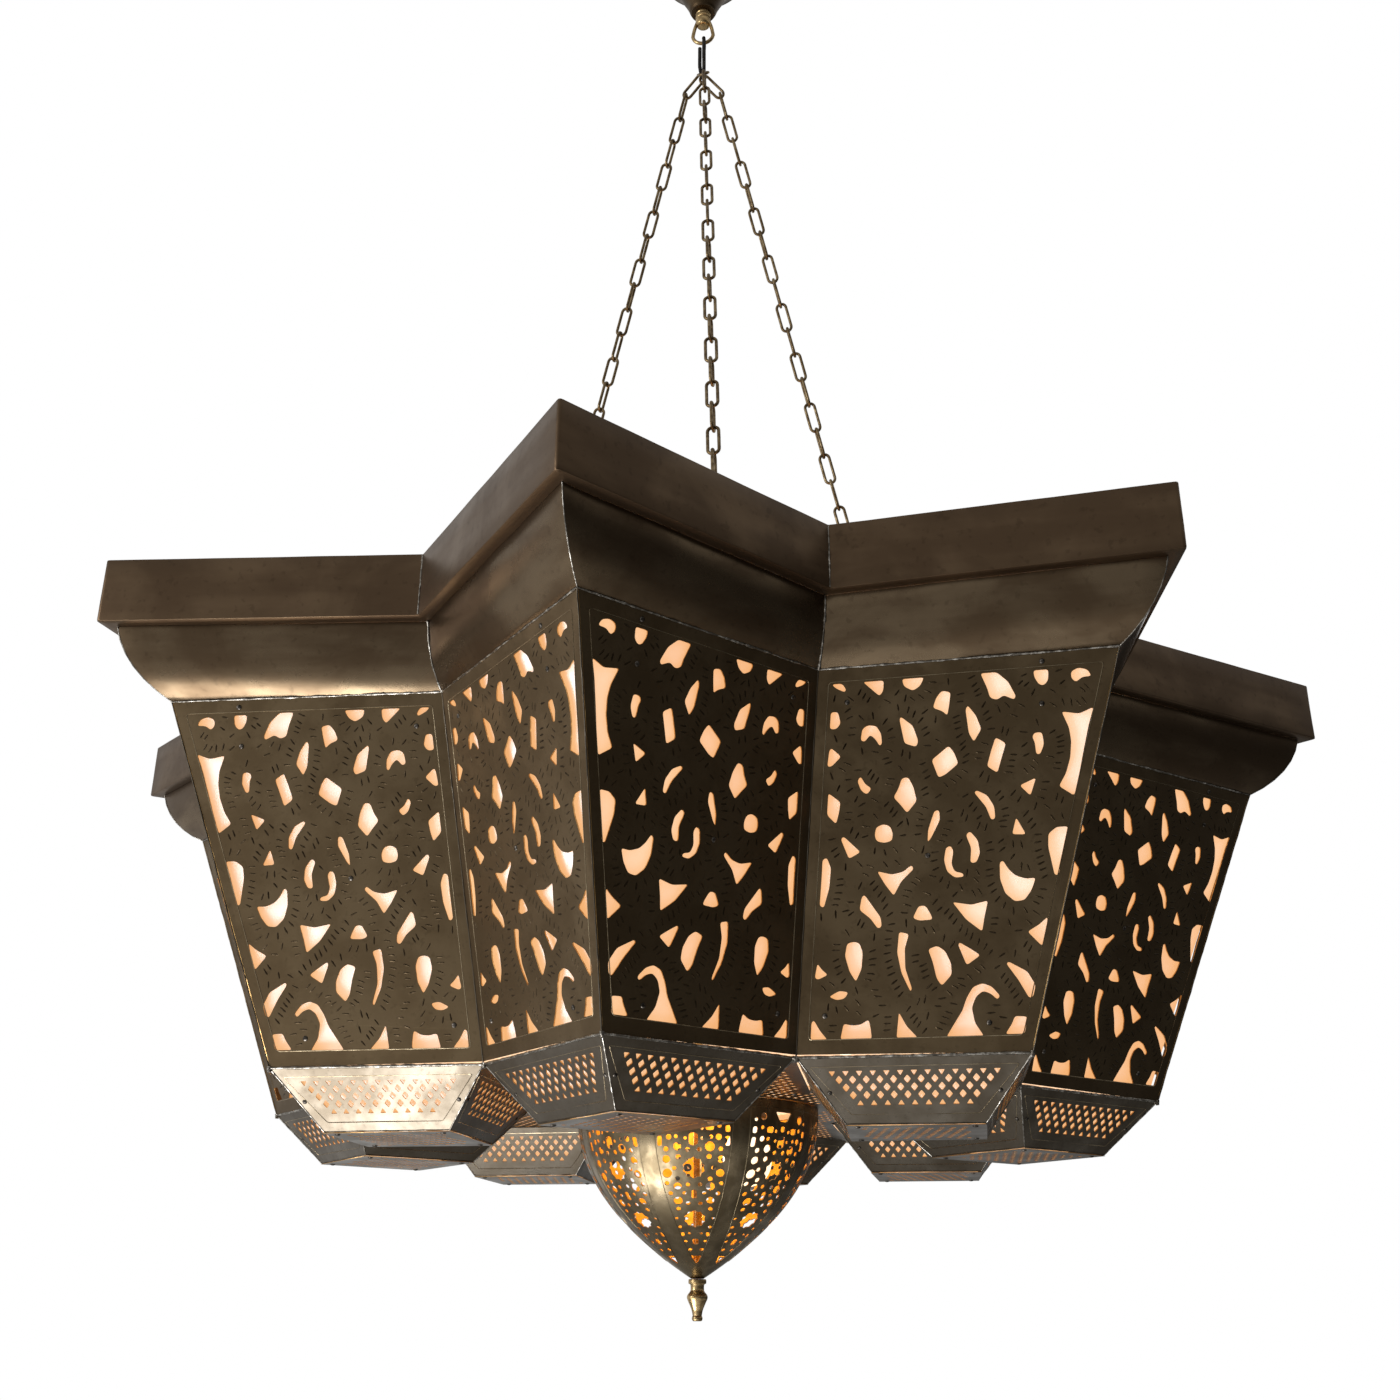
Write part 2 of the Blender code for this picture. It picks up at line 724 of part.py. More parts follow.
def main():
    clear_scene()
    dark_brass = finish_of("dark_brass", (0.050, 0.038, 0.026), 1.0, 0.42)
    panel_brass = finish_of("panel_brass", (0.068, 0.048, 0.028), 1.0, 0.45)
    dome_brass = finish_of("dome_brass", (0.11, 0.083, 0.045), 1.0, 0.38)
    bright_brass = finish_of("bright_brass", (0.35, 0.24, 0.10), 1.0, 0.30)
    chain_brass = finish_of("chain_brass", (0.16, 0.11, 0.055), 1.0, 0.38)
    iron = finish_of("iron", (0.045, 0.042, 0.040), 1.0, 0.55)
    dark_iron = finish_of("dark_iron", (0.035, 0.030, 0.026), 1.0, 0.50)
    liner_sheet = finish_of("liner_sheet", (0.95, 0.78, 0.60), 0.0, 0.60)
    black_plastic = finish_of("black_plastic", (0.03, 0.03, 0.03), 0.0, 0.45)
    frosted_glass = finish_of("frosted_glass", (0.95, 0.90, 0.80), 0.0, 0.30)

    ceiling_bracket(iron)
    canopy(dark_brass)
    canopy_stem(iron)

    swivel = pivot("loop_axis", (0.0, 0.0, COLLAR_BOTTOM))
    loop(bright_brass, swivel)
    hook_axis = pivot("hook_axis", (0.0, 0.0, loop_bottom_z()), swivel)
    hook(dark_iron, hook_axis)
    body_axis = pivot("lantern_axis", (0.0, 0.0, hook_bottom_z()), hook_axis)

    for number, angle in enumerate(CHAIN_ANGLES, start=1):
        chain(number, angle, chain_brass, body_axis)
    top_frame(iron, body_axis)
    fascia(dark_brass, body_axis)
    cove(dark_brass, body_axis)
    for half_step in range(2 * ARMS):
        wall_panel(half_step, panel_brass, body_axis)
    wall_liner(liner_sheet, body_axis)
    for arm in range(ARMS):
        hopper(arm, panel_brass, body_axis)
        bottom_plate(arm, panel_brass, body_axis)
    base_plate(panel_brass, body_axis)

    centre_rod(iron, body_axis)
    lamp_carrier(iron, body_axis)
    holder_top = carrier_bottom() - GAP
    for quarter in range(4):
        place = bearing(90.0 * quarter + 45.0) * CARRIER_REACH
        number = quarter + 1
        lampholder(f"lampholder_{number}", place, holder_top, black_plastic, body_axis)
        bulb(f"bulb_{number}", place, holder_top - CAP_INSET, frosted_glass, body_axis)
    dome_lamp_arm(iron, body_axis)
    dome_place = Vector((DOME_LAMP_OFFSET, 0.0, 0.0))
    dome_holder_top = dome_lamp_z() - CARRIER_SHEET - GAP
    lampholder("dome_lampholder", dome_place, dome_holder_top, black_plastic, body_axis)
    dome_cap_top = dome_holder_top - CAP_INSET
    bulb("dome_bulb", dome_place, dome_cap_top, frosted_glass, body_axis, 0.75)

    dome_axis = pivot("dome_axis", (0.0, 0.0, dome_top_z()), body_axis)
    dome(dome_brass, dome_axis)
    finial_axis = pivot("finial_axis", (0.0, 0.0, dome_tip_z()), dome_axis)
    finial(bright_brass, finial_axis)


main()
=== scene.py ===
# %% [markdown]
# # A star lantern of pierced brass
#
# The real lantern is bench work in thin brass sheet. A plain upright band is folded into an
# eight-pointed star, a rounded moulding runs under it, and sixteen pierced and chased panels taper
# down to eight small hoppers. A turned dome closes the middle, and three chains carry the whole.
#
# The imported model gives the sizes, the places and the motion. It comes in first and stays as it is.
# Everything below is built round it, and each piece then rides on one of its bodies.

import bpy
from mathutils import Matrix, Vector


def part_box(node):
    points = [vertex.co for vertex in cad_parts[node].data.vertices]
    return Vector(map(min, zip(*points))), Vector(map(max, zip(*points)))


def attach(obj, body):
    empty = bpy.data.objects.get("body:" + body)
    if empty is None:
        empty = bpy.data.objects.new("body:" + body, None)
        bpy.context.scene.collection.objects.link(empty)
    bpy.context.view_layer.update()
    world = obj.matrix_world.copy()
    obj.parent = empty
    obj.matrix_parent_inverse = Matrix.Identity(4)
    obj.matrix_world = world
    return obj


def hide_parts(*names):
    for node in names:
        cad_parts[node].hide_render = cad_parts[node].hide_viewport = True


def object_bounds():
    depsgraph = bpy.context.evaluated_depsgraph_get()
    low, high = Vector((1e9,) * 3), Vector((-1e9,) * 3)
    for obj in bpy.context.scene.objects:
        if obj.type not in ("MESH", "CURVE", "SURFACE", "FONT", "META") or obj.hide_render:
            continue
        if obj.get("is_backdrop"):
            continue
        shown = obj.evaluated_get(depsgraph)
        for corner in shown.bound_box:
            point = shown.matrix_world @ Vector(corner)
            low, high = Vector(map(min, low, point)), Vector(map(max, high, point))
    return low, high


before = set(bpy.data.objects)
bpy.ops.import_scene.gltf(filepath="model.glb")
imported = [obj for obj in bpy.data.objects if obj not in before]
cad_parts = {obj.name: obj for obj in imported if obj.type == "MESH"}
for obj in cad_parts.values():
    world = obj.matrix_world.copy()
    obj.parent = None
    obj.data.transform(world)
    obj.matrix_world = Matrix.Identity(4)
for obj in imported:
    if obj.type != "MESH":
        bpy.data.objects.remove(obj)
cad_low, cad_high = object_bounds()
print("frame:", len(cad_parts), "nodes, size", [round(side, 3) for side in cad_high - cad_low])

# %% Tools used throughout
import random
from math import atan2, cos, degrees, hypot, pi, radians, sin, tan

import bmesh
import bpy
from mathutils import Matrix, Vector, noise

MM = 0.001
SHEET = 1.0 * MM
ARMS = 8
UP = Vector((0.0, 0.0, 1.0))
scene = bpy.context.scene

# %% [markdown]
# ## The camera
#
# A hanging lantern is seen from below. The camera stands lower than the star's edge, a little to the
# right of the front tip, and looks up. A camera could be aimed with a Track To constraint, but a
# matrix made from its three axes says the same in one place and needs no target object.
#
# The camera is set here and the studio further down, once there is a way to write its materials.

# %% Camera
hang_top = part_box("fascia")[1].z
camera_place = Vector((0.2314, -1.4383, hang_top - 0.5687))
camera_pitch = radians(22.05)
camera_roll = radians(0.26)

level = Vector((-camera_place.x, -camera_place.y, 0.0)).normalized()
forward = level * cos(camera_pitch) + UP * sin(camera_pitch)
right = forward.cross(UP).normalized()
above = right.cross(forward)
axes = Matrix((right, above, -forward)).transposed()

camera = bpy.data.objects.new("camera", bpy.data.cameras.new("camera"))
camera.data.sensor_width = 36.0
camera.data.lens = 38.95
camera.matrix_world = Matrix.Translation(camera_place) @ (
    axes @ Matrix.Rotation(camera_roll, 3, "Z")
).to_4x4()
scene.collection.objects.link(camera)
scene.camera = camera
print("camera:", [round(v, 3) for v in camera_place], "looking up", round(degrees(camera_pitch), 1))

# %% [markdown]
# ## Shader maths in Python
#
# A finish is a small sum: so much patina, less where the sheet is rubbed, more in the hollows. Node
# by node that sum is hard to read. So one class wraps a socket, and Python's own operators add the
# Math nodes. `Finish` then holds one material, and its `node` method adds any other node: its
# settings first, its sockets after.

# %% A number on a surface
class Amount:
    """A number that varies over a surface. Arithmetic on it adds Math nodes."""

    def __init__(self, tree, socket):
        self.tree = tree
        self.socket = socket

    def maths(self, operation, *values, clamp=False):
        node = self.tree.nodes.new("ShaderNodeMath")
        node.operation = operation
        node.use_clamp = clamp
        for slot, value in zip(node.inputs, values):
            if isinstance(value, Amount):
                self.tree.links.new(value.socket, slot)
            else:
                slot.default_value = value
        return Amount(self.tree, node.outputs[0])

    def __add__(self, other):
        return self.maths("ADD", self, other)

    def __radd__(self, other):
        return self.maths("ADD", other, self)

    def __sub__(self, other):
        return self.maths("SUBTRACT", self, other)

    def __rsub__(self, other):
        return self.maths("SUBTRACT", other, self)

    def __mul__(self, other):
        return self.maths("MULTIPLY", self, other)

    def __rmul__(self, other):
        return self.maths("MULTIPLY", other, self)

    def held(self):
        """The amount kept between 0 and 1."""
        return self.maths("ADD", self, 0.0, clamp=True)

    def step(self, low, high):
        """0 below low, 1 above high, and a smooth rise in between."""
        node = self.tree.nodes.new("ShaderNodeMapRange")
        node.interpolation_type = "SMOOTHSTEP"
        self.tree.links.new(self.socket, node.inputs["Value"])
        node.inputs["From Min"].default_value = low
        node.inputs["From Max"].default_value = high
        return Amount(self.tree, node.outputs["Result"])


# %% A finish
class Finish:
    """One material: a Principled shader, and the nodes that feed it."""

    def __init__(self, name, tree=None):
        if tree is None:
            self.material = bpy.data.materials.new(name)
            self.material.use_nodes = True
            tree = self.material.node_tree
            self.shader = tree.nodes["Principled BSDF"]
        self.tree = tree

    def node(self, kind, settings=None, sockets=None, output=0):
        """Adds a node: settings first, then values or links for its sockets."""
        made = self.tree.nodes.new(kind)
        for key, value in (settings or {}).items():
            if key == "stops":
                for stop in range(len(value) - 2):
                    made.color_ramp.elements.new(0.5)
                for element, (place, colour) in zip(made.color_ramp.elements, value):
                    element.position = place
                    element.color = (*colour, 1.0)
            else:
                setattr(made, key, value)
        for key, value in (sockets or {}).items():
            self.feed(made.inputs[key], value)
        return Amount(self.tree, made.outputs[output])

    def feed(self, socket, value):
        if isinstance(value, Amount):
            self.tree.links.new(value.socket, socket)
        elif isinstance(value, tuple) and len(value) == 3 and len(socket.default_value) == 4:
            socket.default_value = (*value, 1.0)
        else:
            socket.default_value = value

    def place(self, stretch=(1.0, 1.0, 1.0)):
        """Where a point is on its own piece, in millimetres, stretched along each axis."""
        here = self.node("ShaderNodeTexCoord", output="Object")
        scaled = tuple(1000.0 * share for share in stretch)
        return self.node(
            "ShaderNodeVectorMath", {"operation": "MULTIPLY"}, {0: here, 1: scaled}
        )

    def cloud(self, size, detail=3.0, rough=0.55, stretch=(1.0, 1.0, 1.0), twist=0.0):
        """Soft patches about `size` millimetres across, from 0 to 1."""
        return self.node(
            "ShaderNodeTexNoise",
            None,
            {
                "Vector": self.place(stretch),
                "Scale": 1.0 / size,
                "Detail": detail,
                "Roughness": rough,
                "Distortion": twist,
            },
        )

    def mix(self, share, first, second):
        """A colour between two others."""
        return self.node(
            "ShaderNodeMix", {"data_type": "RGBA"}, {0: share, 6: first, 7: second}, output=2
        )

    def bump(self, height, depth, strength=1.0):
        """A surface that rises and falls by `depth` millimetres with the height given."""
        return self.node(
            "ShaderNodeBump",
            None,
            {"Strength": strength, "Distance": depth * MM, "Height": height},
        )

    def set(self, **values):
        """Feeds the shader's own sockets: base_color, roughness, emission_strength and so on."""
        for key, value in values.items():
            words = [{"ior": "IOR"}.get(word, word.capitalize()) for word in key.split("_")]
            self.feed(self.shader.inputs[" ".join(words)], value)
        return self.material


# %% [markdown]
# ## Studio
#
# The world's colour depends on direction alone. Its left side is bright and its right side is dim,
# which turns one face of each arm light and the other dark. The right side is a little brighter
# above, where the upright band mirrors it and the leaning panels don't. What shows behind the
# lantern is plain white. One large soft light is the window, and a weak one fills in from behind.
# Two cards lie over the grey floor and face up: the moulding's lower curve and the hoppers slope
# inwards, so they mirror the floor, and the cards are their shine.

# %% World, floor and lamps of the studio
world = bpy.data.worlds.new("studio")
world.use_nodes = True
scene.world = world
scene.view_settings.view_transform = "Standard"
sky = Finish("sky", world.node_tree)
direction = sky.node("ShaderNodeTexCoord", output="Generated")
across = sky.node("ShaderNodeSeparateXYZ", None, {0: direction}, output="X")
height = sky.node("ShaderNodeSeparateXYZ", None, {0: direction}, output="Z")
leftness = (across * -1.0).step(-0.50, 0.70)
lowness = (height * -1.0).step(-0.2, 0.9)
highness = height.step(0.05, 0.35)
# everywhere a little, then more from the left, from below and from the upper right
glow = 0.05 + leftness * 0.62 + lowness * 0.10 + (1.0 - leftness) * highness * 0.38
brightest = (1.0, 0.985, 0.96)
lit = sky.mix(glow, (0.0, 0.0, 0.0), brightest)
seen = sky.node("ShaderNodeLightPath", output="Is Camera Ray")
shown = sky.mix(seen, lit, (1.0, 1.0, 1.0))
sky.feed(world.node_tree.nodes["Background"].inputs["Color"], shown)


def area_light(name, place, target, size, power, colour=(1.0, 1.0, 1.0)):
    lamp = bpy.data.objects.new(name, bpy.data.lights.new(name, "AREA"))
    lamp.data.shape = "DISK"
    lamp.data.size = size
    lamp.data.energy = power
    lamp.data.color = colour
    lamp.location = place
    lamp.rotation_euler = (Vector(target) - Vector(place)).to_track_quat("-Z", "Y").to_euler()
    scene.collection.objects.link(lamp)
    return lamp


middle = Vector((0.0, 0.0, hang_top - 0.25))
area_light("window", (-2.6, -1.9, -0.9), middle, 1.6, 40.0)
area_light("back_fill", (1.8, 2.4, 0.2), middle, 2.0, 10.0)
floor_gap = 0.65
card_lift = 0.06
floor_level = cad_low.z - floor_gap
cards = (
    ("bright_card", -0.62, -0.62, 0.80, 17.0),
    ("dim_card", 0.0, -0.85, 1.5, 3.2),
)
for name, x, y, size, power in cards:
    card = area_light(name, (x, y, floor_level + card_lift), (x, y, 0.0), size, power)
    card.visible_camera = False

floor_mesh = bpy.data.meshes.new("floor")
disc = bmesh.new()
floor_radius = 1.7
bmesh.ops.create_circle(disc, cap_ends=True, segments=96, radius=floor_radius)
disc.to_mesh(floor_mesh)
disc.free()
floor = bpy.data.objects.new("floor", floor_mesh)
floor.location = (0.0, 0.0, floor_level)
scene.collection.objects.link(floor)
floor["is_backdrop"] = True
paint = Finish("floor_paint")
pale = paint.mix(paint.cloud(400.0), (0.36, 0.36, 0.35), (0.42, 0.42, 0.41))
floor.data.materials.append(paint.set(base_color=pale, roughness=0.7))
print("floor at", round(floor.location.z, 3))

# %% [markdown]
# ## Finishes
#
# Aged brass is two colours. The sheet is brown where patina has grown, and warmer and smoother where
# hands and cloths have rubbed it. Soft noise at two sizes mixes the two; long stretched noise gives
# the drag marks of the rolling mill and the polishing cloth. A cleaner model would wear only the
# edges, but this lantern was darkened as a whole and then wiped, so the wear follows no edge.

# %% Aged brass
def aged_brass(name, dark, worn, share=0.45, rough=(0.30, 0.50), grain=18.0, drag=(1.0, 1.0, 1.0)):
    """Brown patina with rubbed patches. `share` is how much of the sheet is rubbed."""
    finish = Finish(name)
    patches = finish.cloud(grain * 2.2, detail=4.0, twist=0.6)
    specks = finish.cloud(grain * 0.16, detail=2.0)
    drags = finish.cloud(grain, detail=3.0, stretch=drag)
    rubbed = (patches * 0.6 + drags * 0.4).step(0.62 - share * 0.42, 0.86 - share * 0.42)
    grime = specks.step(0.58, 0.72)
    colour = finish.mix(rubbed, dark, worn)
    grimy = finish.mix(grime * 0.24, colour, tuple(0.35 * part for part in dark))
    gloss = rough[1] - rubbed * (rough[1] - rough[0]) + specks * 0.08
    relief = finish.bump(patches * 0.6 + drags * 0.3 + specks * 0.1, 0.20, 0.4)
    finish.set(base_color=grimy, metallic=1.0, roughness=gloss, normal=relief)
    return finish


band_brass = aged_brass(
    "band_brass", (0.088, 0.057, 0.034), (0.142, 0.096, 0.058), 0.5, (0.28, 0.38), 44.0, (0.3, 0.3, 1.6)
)
cove_brass = aged_brass(
    "cove_brass", (0.095, 0.064, 0.038), (0.175, 0.128, 0.080), 0.5, (0.20, 0.29), 40.0, (0.4, 0.4, 2.2)
)
hopper_brass = aged_brass(
    "hopper_brass", (0.088, 0.072, 0.053), (0.148, 0.128, 0.102), 0.5, (0.22, 0.32), 26.0
)
dome_brass = aged_brass(
    "dome_brass", (0.120, 0.092, 0.054), (0.270, 0.214, 0.135), 0.5, (0.20, 0.34), 14.0, (1.0, 1.0, 0.3)
)
turned_brass = aged_brass(
    "turned_brass", (0.26, 0.18, 0.085), (0.55, 0.40, 0.20), 0.6, (0.18, 0.32), 6.0, (1.0, 1.0, 3.0)
)
wire_brass = aged_brass(
    "wire_brass", (0.13, 0.088, 0.045), (0.32, 0.24, 0.135), 0.5, (0.26, 0.40), 5.0
)
canopy_brown = aged_brass(
    "canopy_brown", (0.060, 0.040, 0.022), (0.13, 0.092, 0.050), 0.45, (0.30, 0.42), 12.0
)
solder = aged_brass("solder", (0.14, 0.125, 0.105), (0.60, 0.57, 0.52), 0.45, (0.14, 0.30), 3.0)
black_iron = aged_brass(
    "black_iron", (0.030, 0.028, 0.026), (0.085, 0.075, 0.062), 0.35, (0.42, 0.60), 8.0
)
screw_steel = aged_brass("screw_steel", (0.03, 0.026, 0.022), (0.18, 0.16, 0.14), 0.5, (0.25, 0.4), 2.0)
chased_dark = aged_brass(
    "chased_dark", (0.026, 0.018, 0.010), (0.052, 0.037, 0.022), 0.4, (0.28, 0.42), 3.0
)
panel_brass = aged_brass(
    "panel_brass", (0.092, 0.064, 0.035), (0.155, 0.112, 0.064), 0.5, (0.30, 0.42), 30.0
)
ridge_brass = aged_brass("ridge_brass", (0.17, 0.13, 0.08), (0.36, 0.29, 0.19), 0.6, (0.2, 0.34), 6.0)
print("brass finishes:", len(bpy.data.materials))

# %% [markdown]
# ### Cut edges, glowing sheet and glass
#
# A saw leaves bare brass inside every opening, so the cut edges get a brighter finish of their own.
# Behind the openings stands a translucent sheet. Real light could be sent through it, but that needs
# thousands of samples to settle. An emission with a soft falloff from lamp to lamp reads the same,
# and the sheet's own pale colour still takes the studio's light where an opening lets it in.

# %% Light and plastic finishes
def glowing_sheet(name, warm, hot, strength):
    """Lit from behind: hotter in soft patches, with the weave of a pressed sheet."""
    finish = Finish(name)
    spots = finish.cloud(150.0, detail=1.0).step(0.35, 0.68)
    grain = finish.cloud(1.6, detail=2.0)
    light = finish.mix((spots * 0.85 + grain * 0.15).held(), warm, hot)
    pale = finish.mix(grain, (0.40, 0.56, 0.70), (0.46, 0.62, 0.76))
    finish.set(
        base_color=pale,
        roughness=0.55 + grain * 0.2,
        emission_color=light,
        emission_strength=strength,
        normal=finish.bump(grain, 0.05, 0.3),
    )
    return finish


cut_edge = aged_brass("cut_edge_brass", (0.42, 0.26, 0.10), (0.72, 0.47, 0.20), 0.5, (0.3, 0.5), 3.0)
glow_sheet = glowing_sheet("glow_sheet", (0.86, 0.41, 0.15), (0.93, 0.51, 0.23), 1.0)
glass = glowing_sheet("frosted_glass", (1.0, 0.72, 0.42), (1.0, 0.86, 0.62), 1.6)
# the dome's inside: painted lamplight, amber brass that glows by itself in place of the lamp's light
# falling on it
dome_inside_painted_lamplight = aged_brass("dome_inside_painted_lamplight", (0.50, 0.22, 0.02), (0.75, 0.38, 0.05), 0.5, (0.35, 0.5), 9.0)
painted_lamplight_colour = dome_inside_painted_lamplight.mix(dome_inside_painted_lamplight.cloud(30.0), (0.62, 0.16, 0.004), (0.95, 0.34, 0.015))
dome_inside_painted_lamplight.set(emission_color=painted_lamplight_colour, emission_strength=0.55)
bakelite = Finish("bakelite")
swirl = bakelite.cloud(9.0, detail=3.0, twist=1.5)
bakelite.set(
    base_color=bakelite.mix(swirl, (0.018, 0.014, 0.012), (0.045, 0.036, 0.030)),
    roughness=0.32 + swirl * 0.18,
    normal=bakelite.bump(swirl, 0.05, 0.3),
)
print("finishes:", len(bpy.data.materials))

# %% [markdown]
# ## Making pieces
#
# Every piece below ends the same way: its mesh goes into an object, it rides on a body, and it may stand
# for a imported node. One function does that. The bodies' names are those of the imported record, so a
# piece swings, drops or turns with the part that it belongs to.

# %% A finished piece
made_pieces = []


def piece(name, mesh, body, slot, *finishes, stands_for=(), place=None):
    """Puts a mesh in the scene as a named piece that rides on a body."""
    obj = bpy.data.objects.new(name, mesh)
    scene.collection.objects.link(obj)
    for finish in finishes[len(mesh.materials):]:
        mesh.materials.append(finish.material)
    if place is not None:
        obj.matrix_world = place
    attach(obj, body)
    if stands_for:
        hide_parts(*stands_for)
    made_pieces.append(obj)
    return obj


# %% Meshes from points and rings
def mesh_of(points, faces, name, smooth_below=None):
    mesh = bpy.data.meshes.new(name)
    mesh.from_pydata([tuple(point) for point in points], [], faces)
    mesh.validate()
    tidy = bmesh.new()
    tidy.from_mesh(mesh)
    bmesh.ops.recalc_face_normals(tidy, faces=tidy.faces)
    tidy.to_mesh(mesh)
    tidy.free()
    if smooth_below is not None:
        mesh.shade_smooth()
        mesh.set_sharp_from_angle(angle=radians(smooth_below))
    return mesh


def loft(rings, name, round_and_round=True, smooth_below=35):
    """Skins a row of rings. Either the last ring meets the first, or both ends are capped."""
    count, size = len(rings), len(rings[0])
    points = [point for ring in rings for point in ring]
    faces = []
    for index in range(count if round_and_round else count - 1):
        here, there = index * size, (index + 1) % count * size
        for step in range(size):
            after = (step + 1) % size
            faces.append((here + step, here + after, there + after, there + step))
    if not round_and_round:
        faces.append(tuple(range(size))[::-1])
        faces.append(tuple(range((count - 1) * size, count * size)))
    return mesh_of(points, faces, name, smooth_below)


def joined(parts, name):
    """One mesh from several (mesh, place, finish number) parts."""
    whole = bmesh.new()
    for mesh, place, number in parts:
        before = len(whole.faces)
        whole.from_mesh(mesh)
        whole.faces.ensure_lookup_table()
        fresh = whole.faces[before:]
        if place is not None:
            corners = list({corner for face in fresh for corner in face.verts})
            bmesh.ops.transform(whole, matrix=place, verts=corners)
        if number is not None:
            for face in fresh:
                face.material_index = number
    made = bpy.data.meshes.new(name)
    whole.to_mesh(made)
    whole.free()
    return made


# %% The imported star's measures
def bearing(turn):
    """The level direction at an angle in degrees from the front tip, towards +X."""
    return Vector((sin(radians(turn)), -cos(radians(turn)), 0.0))


def edge_points(node, high):
    """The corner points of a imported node's top or bottom edge."""
    points = [vertex.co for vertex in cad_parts[node].data.vertices]
    level = max(point.z for point in points) if high else min(point.z for point in points)
    return [point for point in points if abs(point.z - level) < 0.1 * MM]


def reach(node, turn, high=True):
    """How far out a node's top or bottom edge reaches at a bearing."""
    return max(
        point.xy.length
        for point in edge_points(node, high)
        if point.xy.normalized().dot(bearing(turn).xy) > cos(radians(0.6))
    )


def corner(node, towards, high=True):
    """The point of a node's top or bottom edge that lies furthest along a direction."""
    return max(edge_points(node, high), key=lambda point: point.dot(Vector(towards))).copy()


band_tip, band_valley = reach("fascia", 0.0), reach("fascia", 22.5)
print("star:", round(band_tip, 4), "to its tips and", round(band_valley, 4), "to its valleys")

# %% [markdown]
# ## The band and its lip
#
# The band is one strip of sheet, folded at eight tips and pinched in at eight valleys, with its lower
# edge turned in as a lip. A Bevel modifier on a sharp star would round every edge alike. Sweeping a
# profile round the star gives each kind of fold its own radius, and a little noise along the way
# gives the slight waves that hand-folded sheet always has.

# %% Rings round a star
def star_ring(tip, valley, height, tip_round=0.0, valley_round=0.0, along=6, wave=None):
    """Points round an eight-pointed star. A fold is a small curve, and each side has points along it."""
    corners = [bearing(22.5 * step) * (valley if step % 2 else tip) for step in range(2 * ARMS)]
    spans = []
    for step, here in enumerate(corners):
        before, after = corners[step - 1] - here, corners[(step + 1) % len(corners)] - here
        half = before.angle(after) / 2
        cut = (valley_round if step % 2 else tip_round) / tan(half)
        first, last = here + before.normalized() * cut, here + after.normalized() * cut
        spans.append([
            first.lerp(here, share).lerp(here.lerp(last, share), share)
            for share in (0.0, 0.25, 0.5, 0.75, 1.0)
        ])
    ring = []
    for step, span in enumerate(spans):
        ring.extend(span)
        start, end = span[-1], spans[(step + 1) % len(spans)][0]
        ring.extend(start.lerp(end, (1 + stop) / (along + 1)) for stop in range(along))
    lift = UP * height
    if wave is None:
        return [point + lift for point in ring]
    size, spacing = wave
    out = []
    for point in ring:
        seat = point / spacing + lift / spacing
        push = point.normalized() * noise.noise(seat) * size
        out.append(point + lift + push)
    return out


def inset_radii(tip, valley, inset):
    """The star's two radii once every side has moved in."""
    along_valley = Vector((valley * cos(pi / ARMS), valley * sin(pi / ARMS)))
    side = (along_valley - Vector((tip, 0.0))).normalized()
    normal = Vector((side.y, -side.x))
    return tip - inset / normal.x, valley - inset / normal.dot(along_valley.normalized())


def star_sweep(profile, name, tip_round, valley_round, wave, along=8, smooth_below=40):
    """Sweeps (tip, valley, height, inset) sections round the star as one closed strip."""
    rings = []
    for tip, valley, height, inset in profile:
        radii = inset_radii(tip, valley, inset)
        rings.append(star_ring(
            *radii, height, max(tip_round - inset, 0.5 * MM), valley_round + inset, along, wave
        ))
    return loft(rings, name, smooth_below=smooth_below)


print("points in one ring:", len(star_ring(band_tip, band_valley, 0.0)))

# %% The band
band_top, band_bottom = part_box("fascia")[1].z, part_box("fascia")[0].z
lip_width = band_tip - min(
    point.xy.length for point in edge_points("fascia", False)
    if abs(degrees(atan2(point.x, -point.y))) < 0.6
)
lip = lip_width * 0.66
strip = [
    (0.4 * MM, band_top),
    (0.0, band_top - 0.6 * MM),
    (0.0, band_top - 18 * MM),
    (0.0, band_bottom + 18 * MM),
    (0.0, band_bottom + 1.6 * MM),
    (0.3 * MM, band_bottom + 0.5 * MM),
    (1.3 * MM, band_bottom),
    (lip * 0.5, band_bottom + 0.1 * MM),
    (lip, band_bottom),
    (lip, band_bottom + SHEET),
    (1.6 * MM, band_bottom + SHEET),
    (SHEET, band_bottom + 2.0 * MM),
    (SHEET, band_top - 0.3 * MM),
    (0.8 * MM, band_top),
]
sections = [(band_tip, band_valley, height, inset) for inset, height in strip]
band = piece(
    "star_band",
    star_sweep(sections, "star_band", 3.0 * MM, 1.2 * MM, (0.7 * MM, 0.045)),
    "lantern", "dark_brass", band_brass, stands_for=("fascia",),
)
print("band:", len(band.data.polygons), "faces, lip", round(lip / MM, 1), "mm")

# %% [markdown]
# ## The rounded moulding
#
# Under the lip a convex moulding runs round the star. It was pressed in straight lengths and mitred
# at each fold, so its mitres stay sharp. Its curve is a quarter of a flattened ellipse: nearly
# upright above, slanting in below.

# %% The cove
cove_top, cove_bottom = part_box("cove")[1].z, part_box("cove")[0].z
cove_high = (reach("cove", 0.0), reach("cove", 22.5))
cove_low = (reach("cove", 0.0, False), reach("cove", 22.5, False))
first_turn, last_turn = radians(8.0), radians(58.0)


def cove_section(share):
    """The moulding's radii and level, from its top edge to its bottom edge."""
    turn = first_turn + (last_turn - first_turn) * share
    inwards = (cos(first_turn) - cos(turn)) / (cos(first_turn) - cos(last_turn))
    down = (sin(turn) - sin(first_turn)) / (sin(last_turn) - sin(first_turn))
    tip = cove_high[0] + (cove_low[0] - cove_high[0]) * inwards
    valley = cove_high[1] + (cove_low[1] - cove_high[1]) * inwards
    return tip, valley, cove_top + (cove_bottom - cove_top) * down


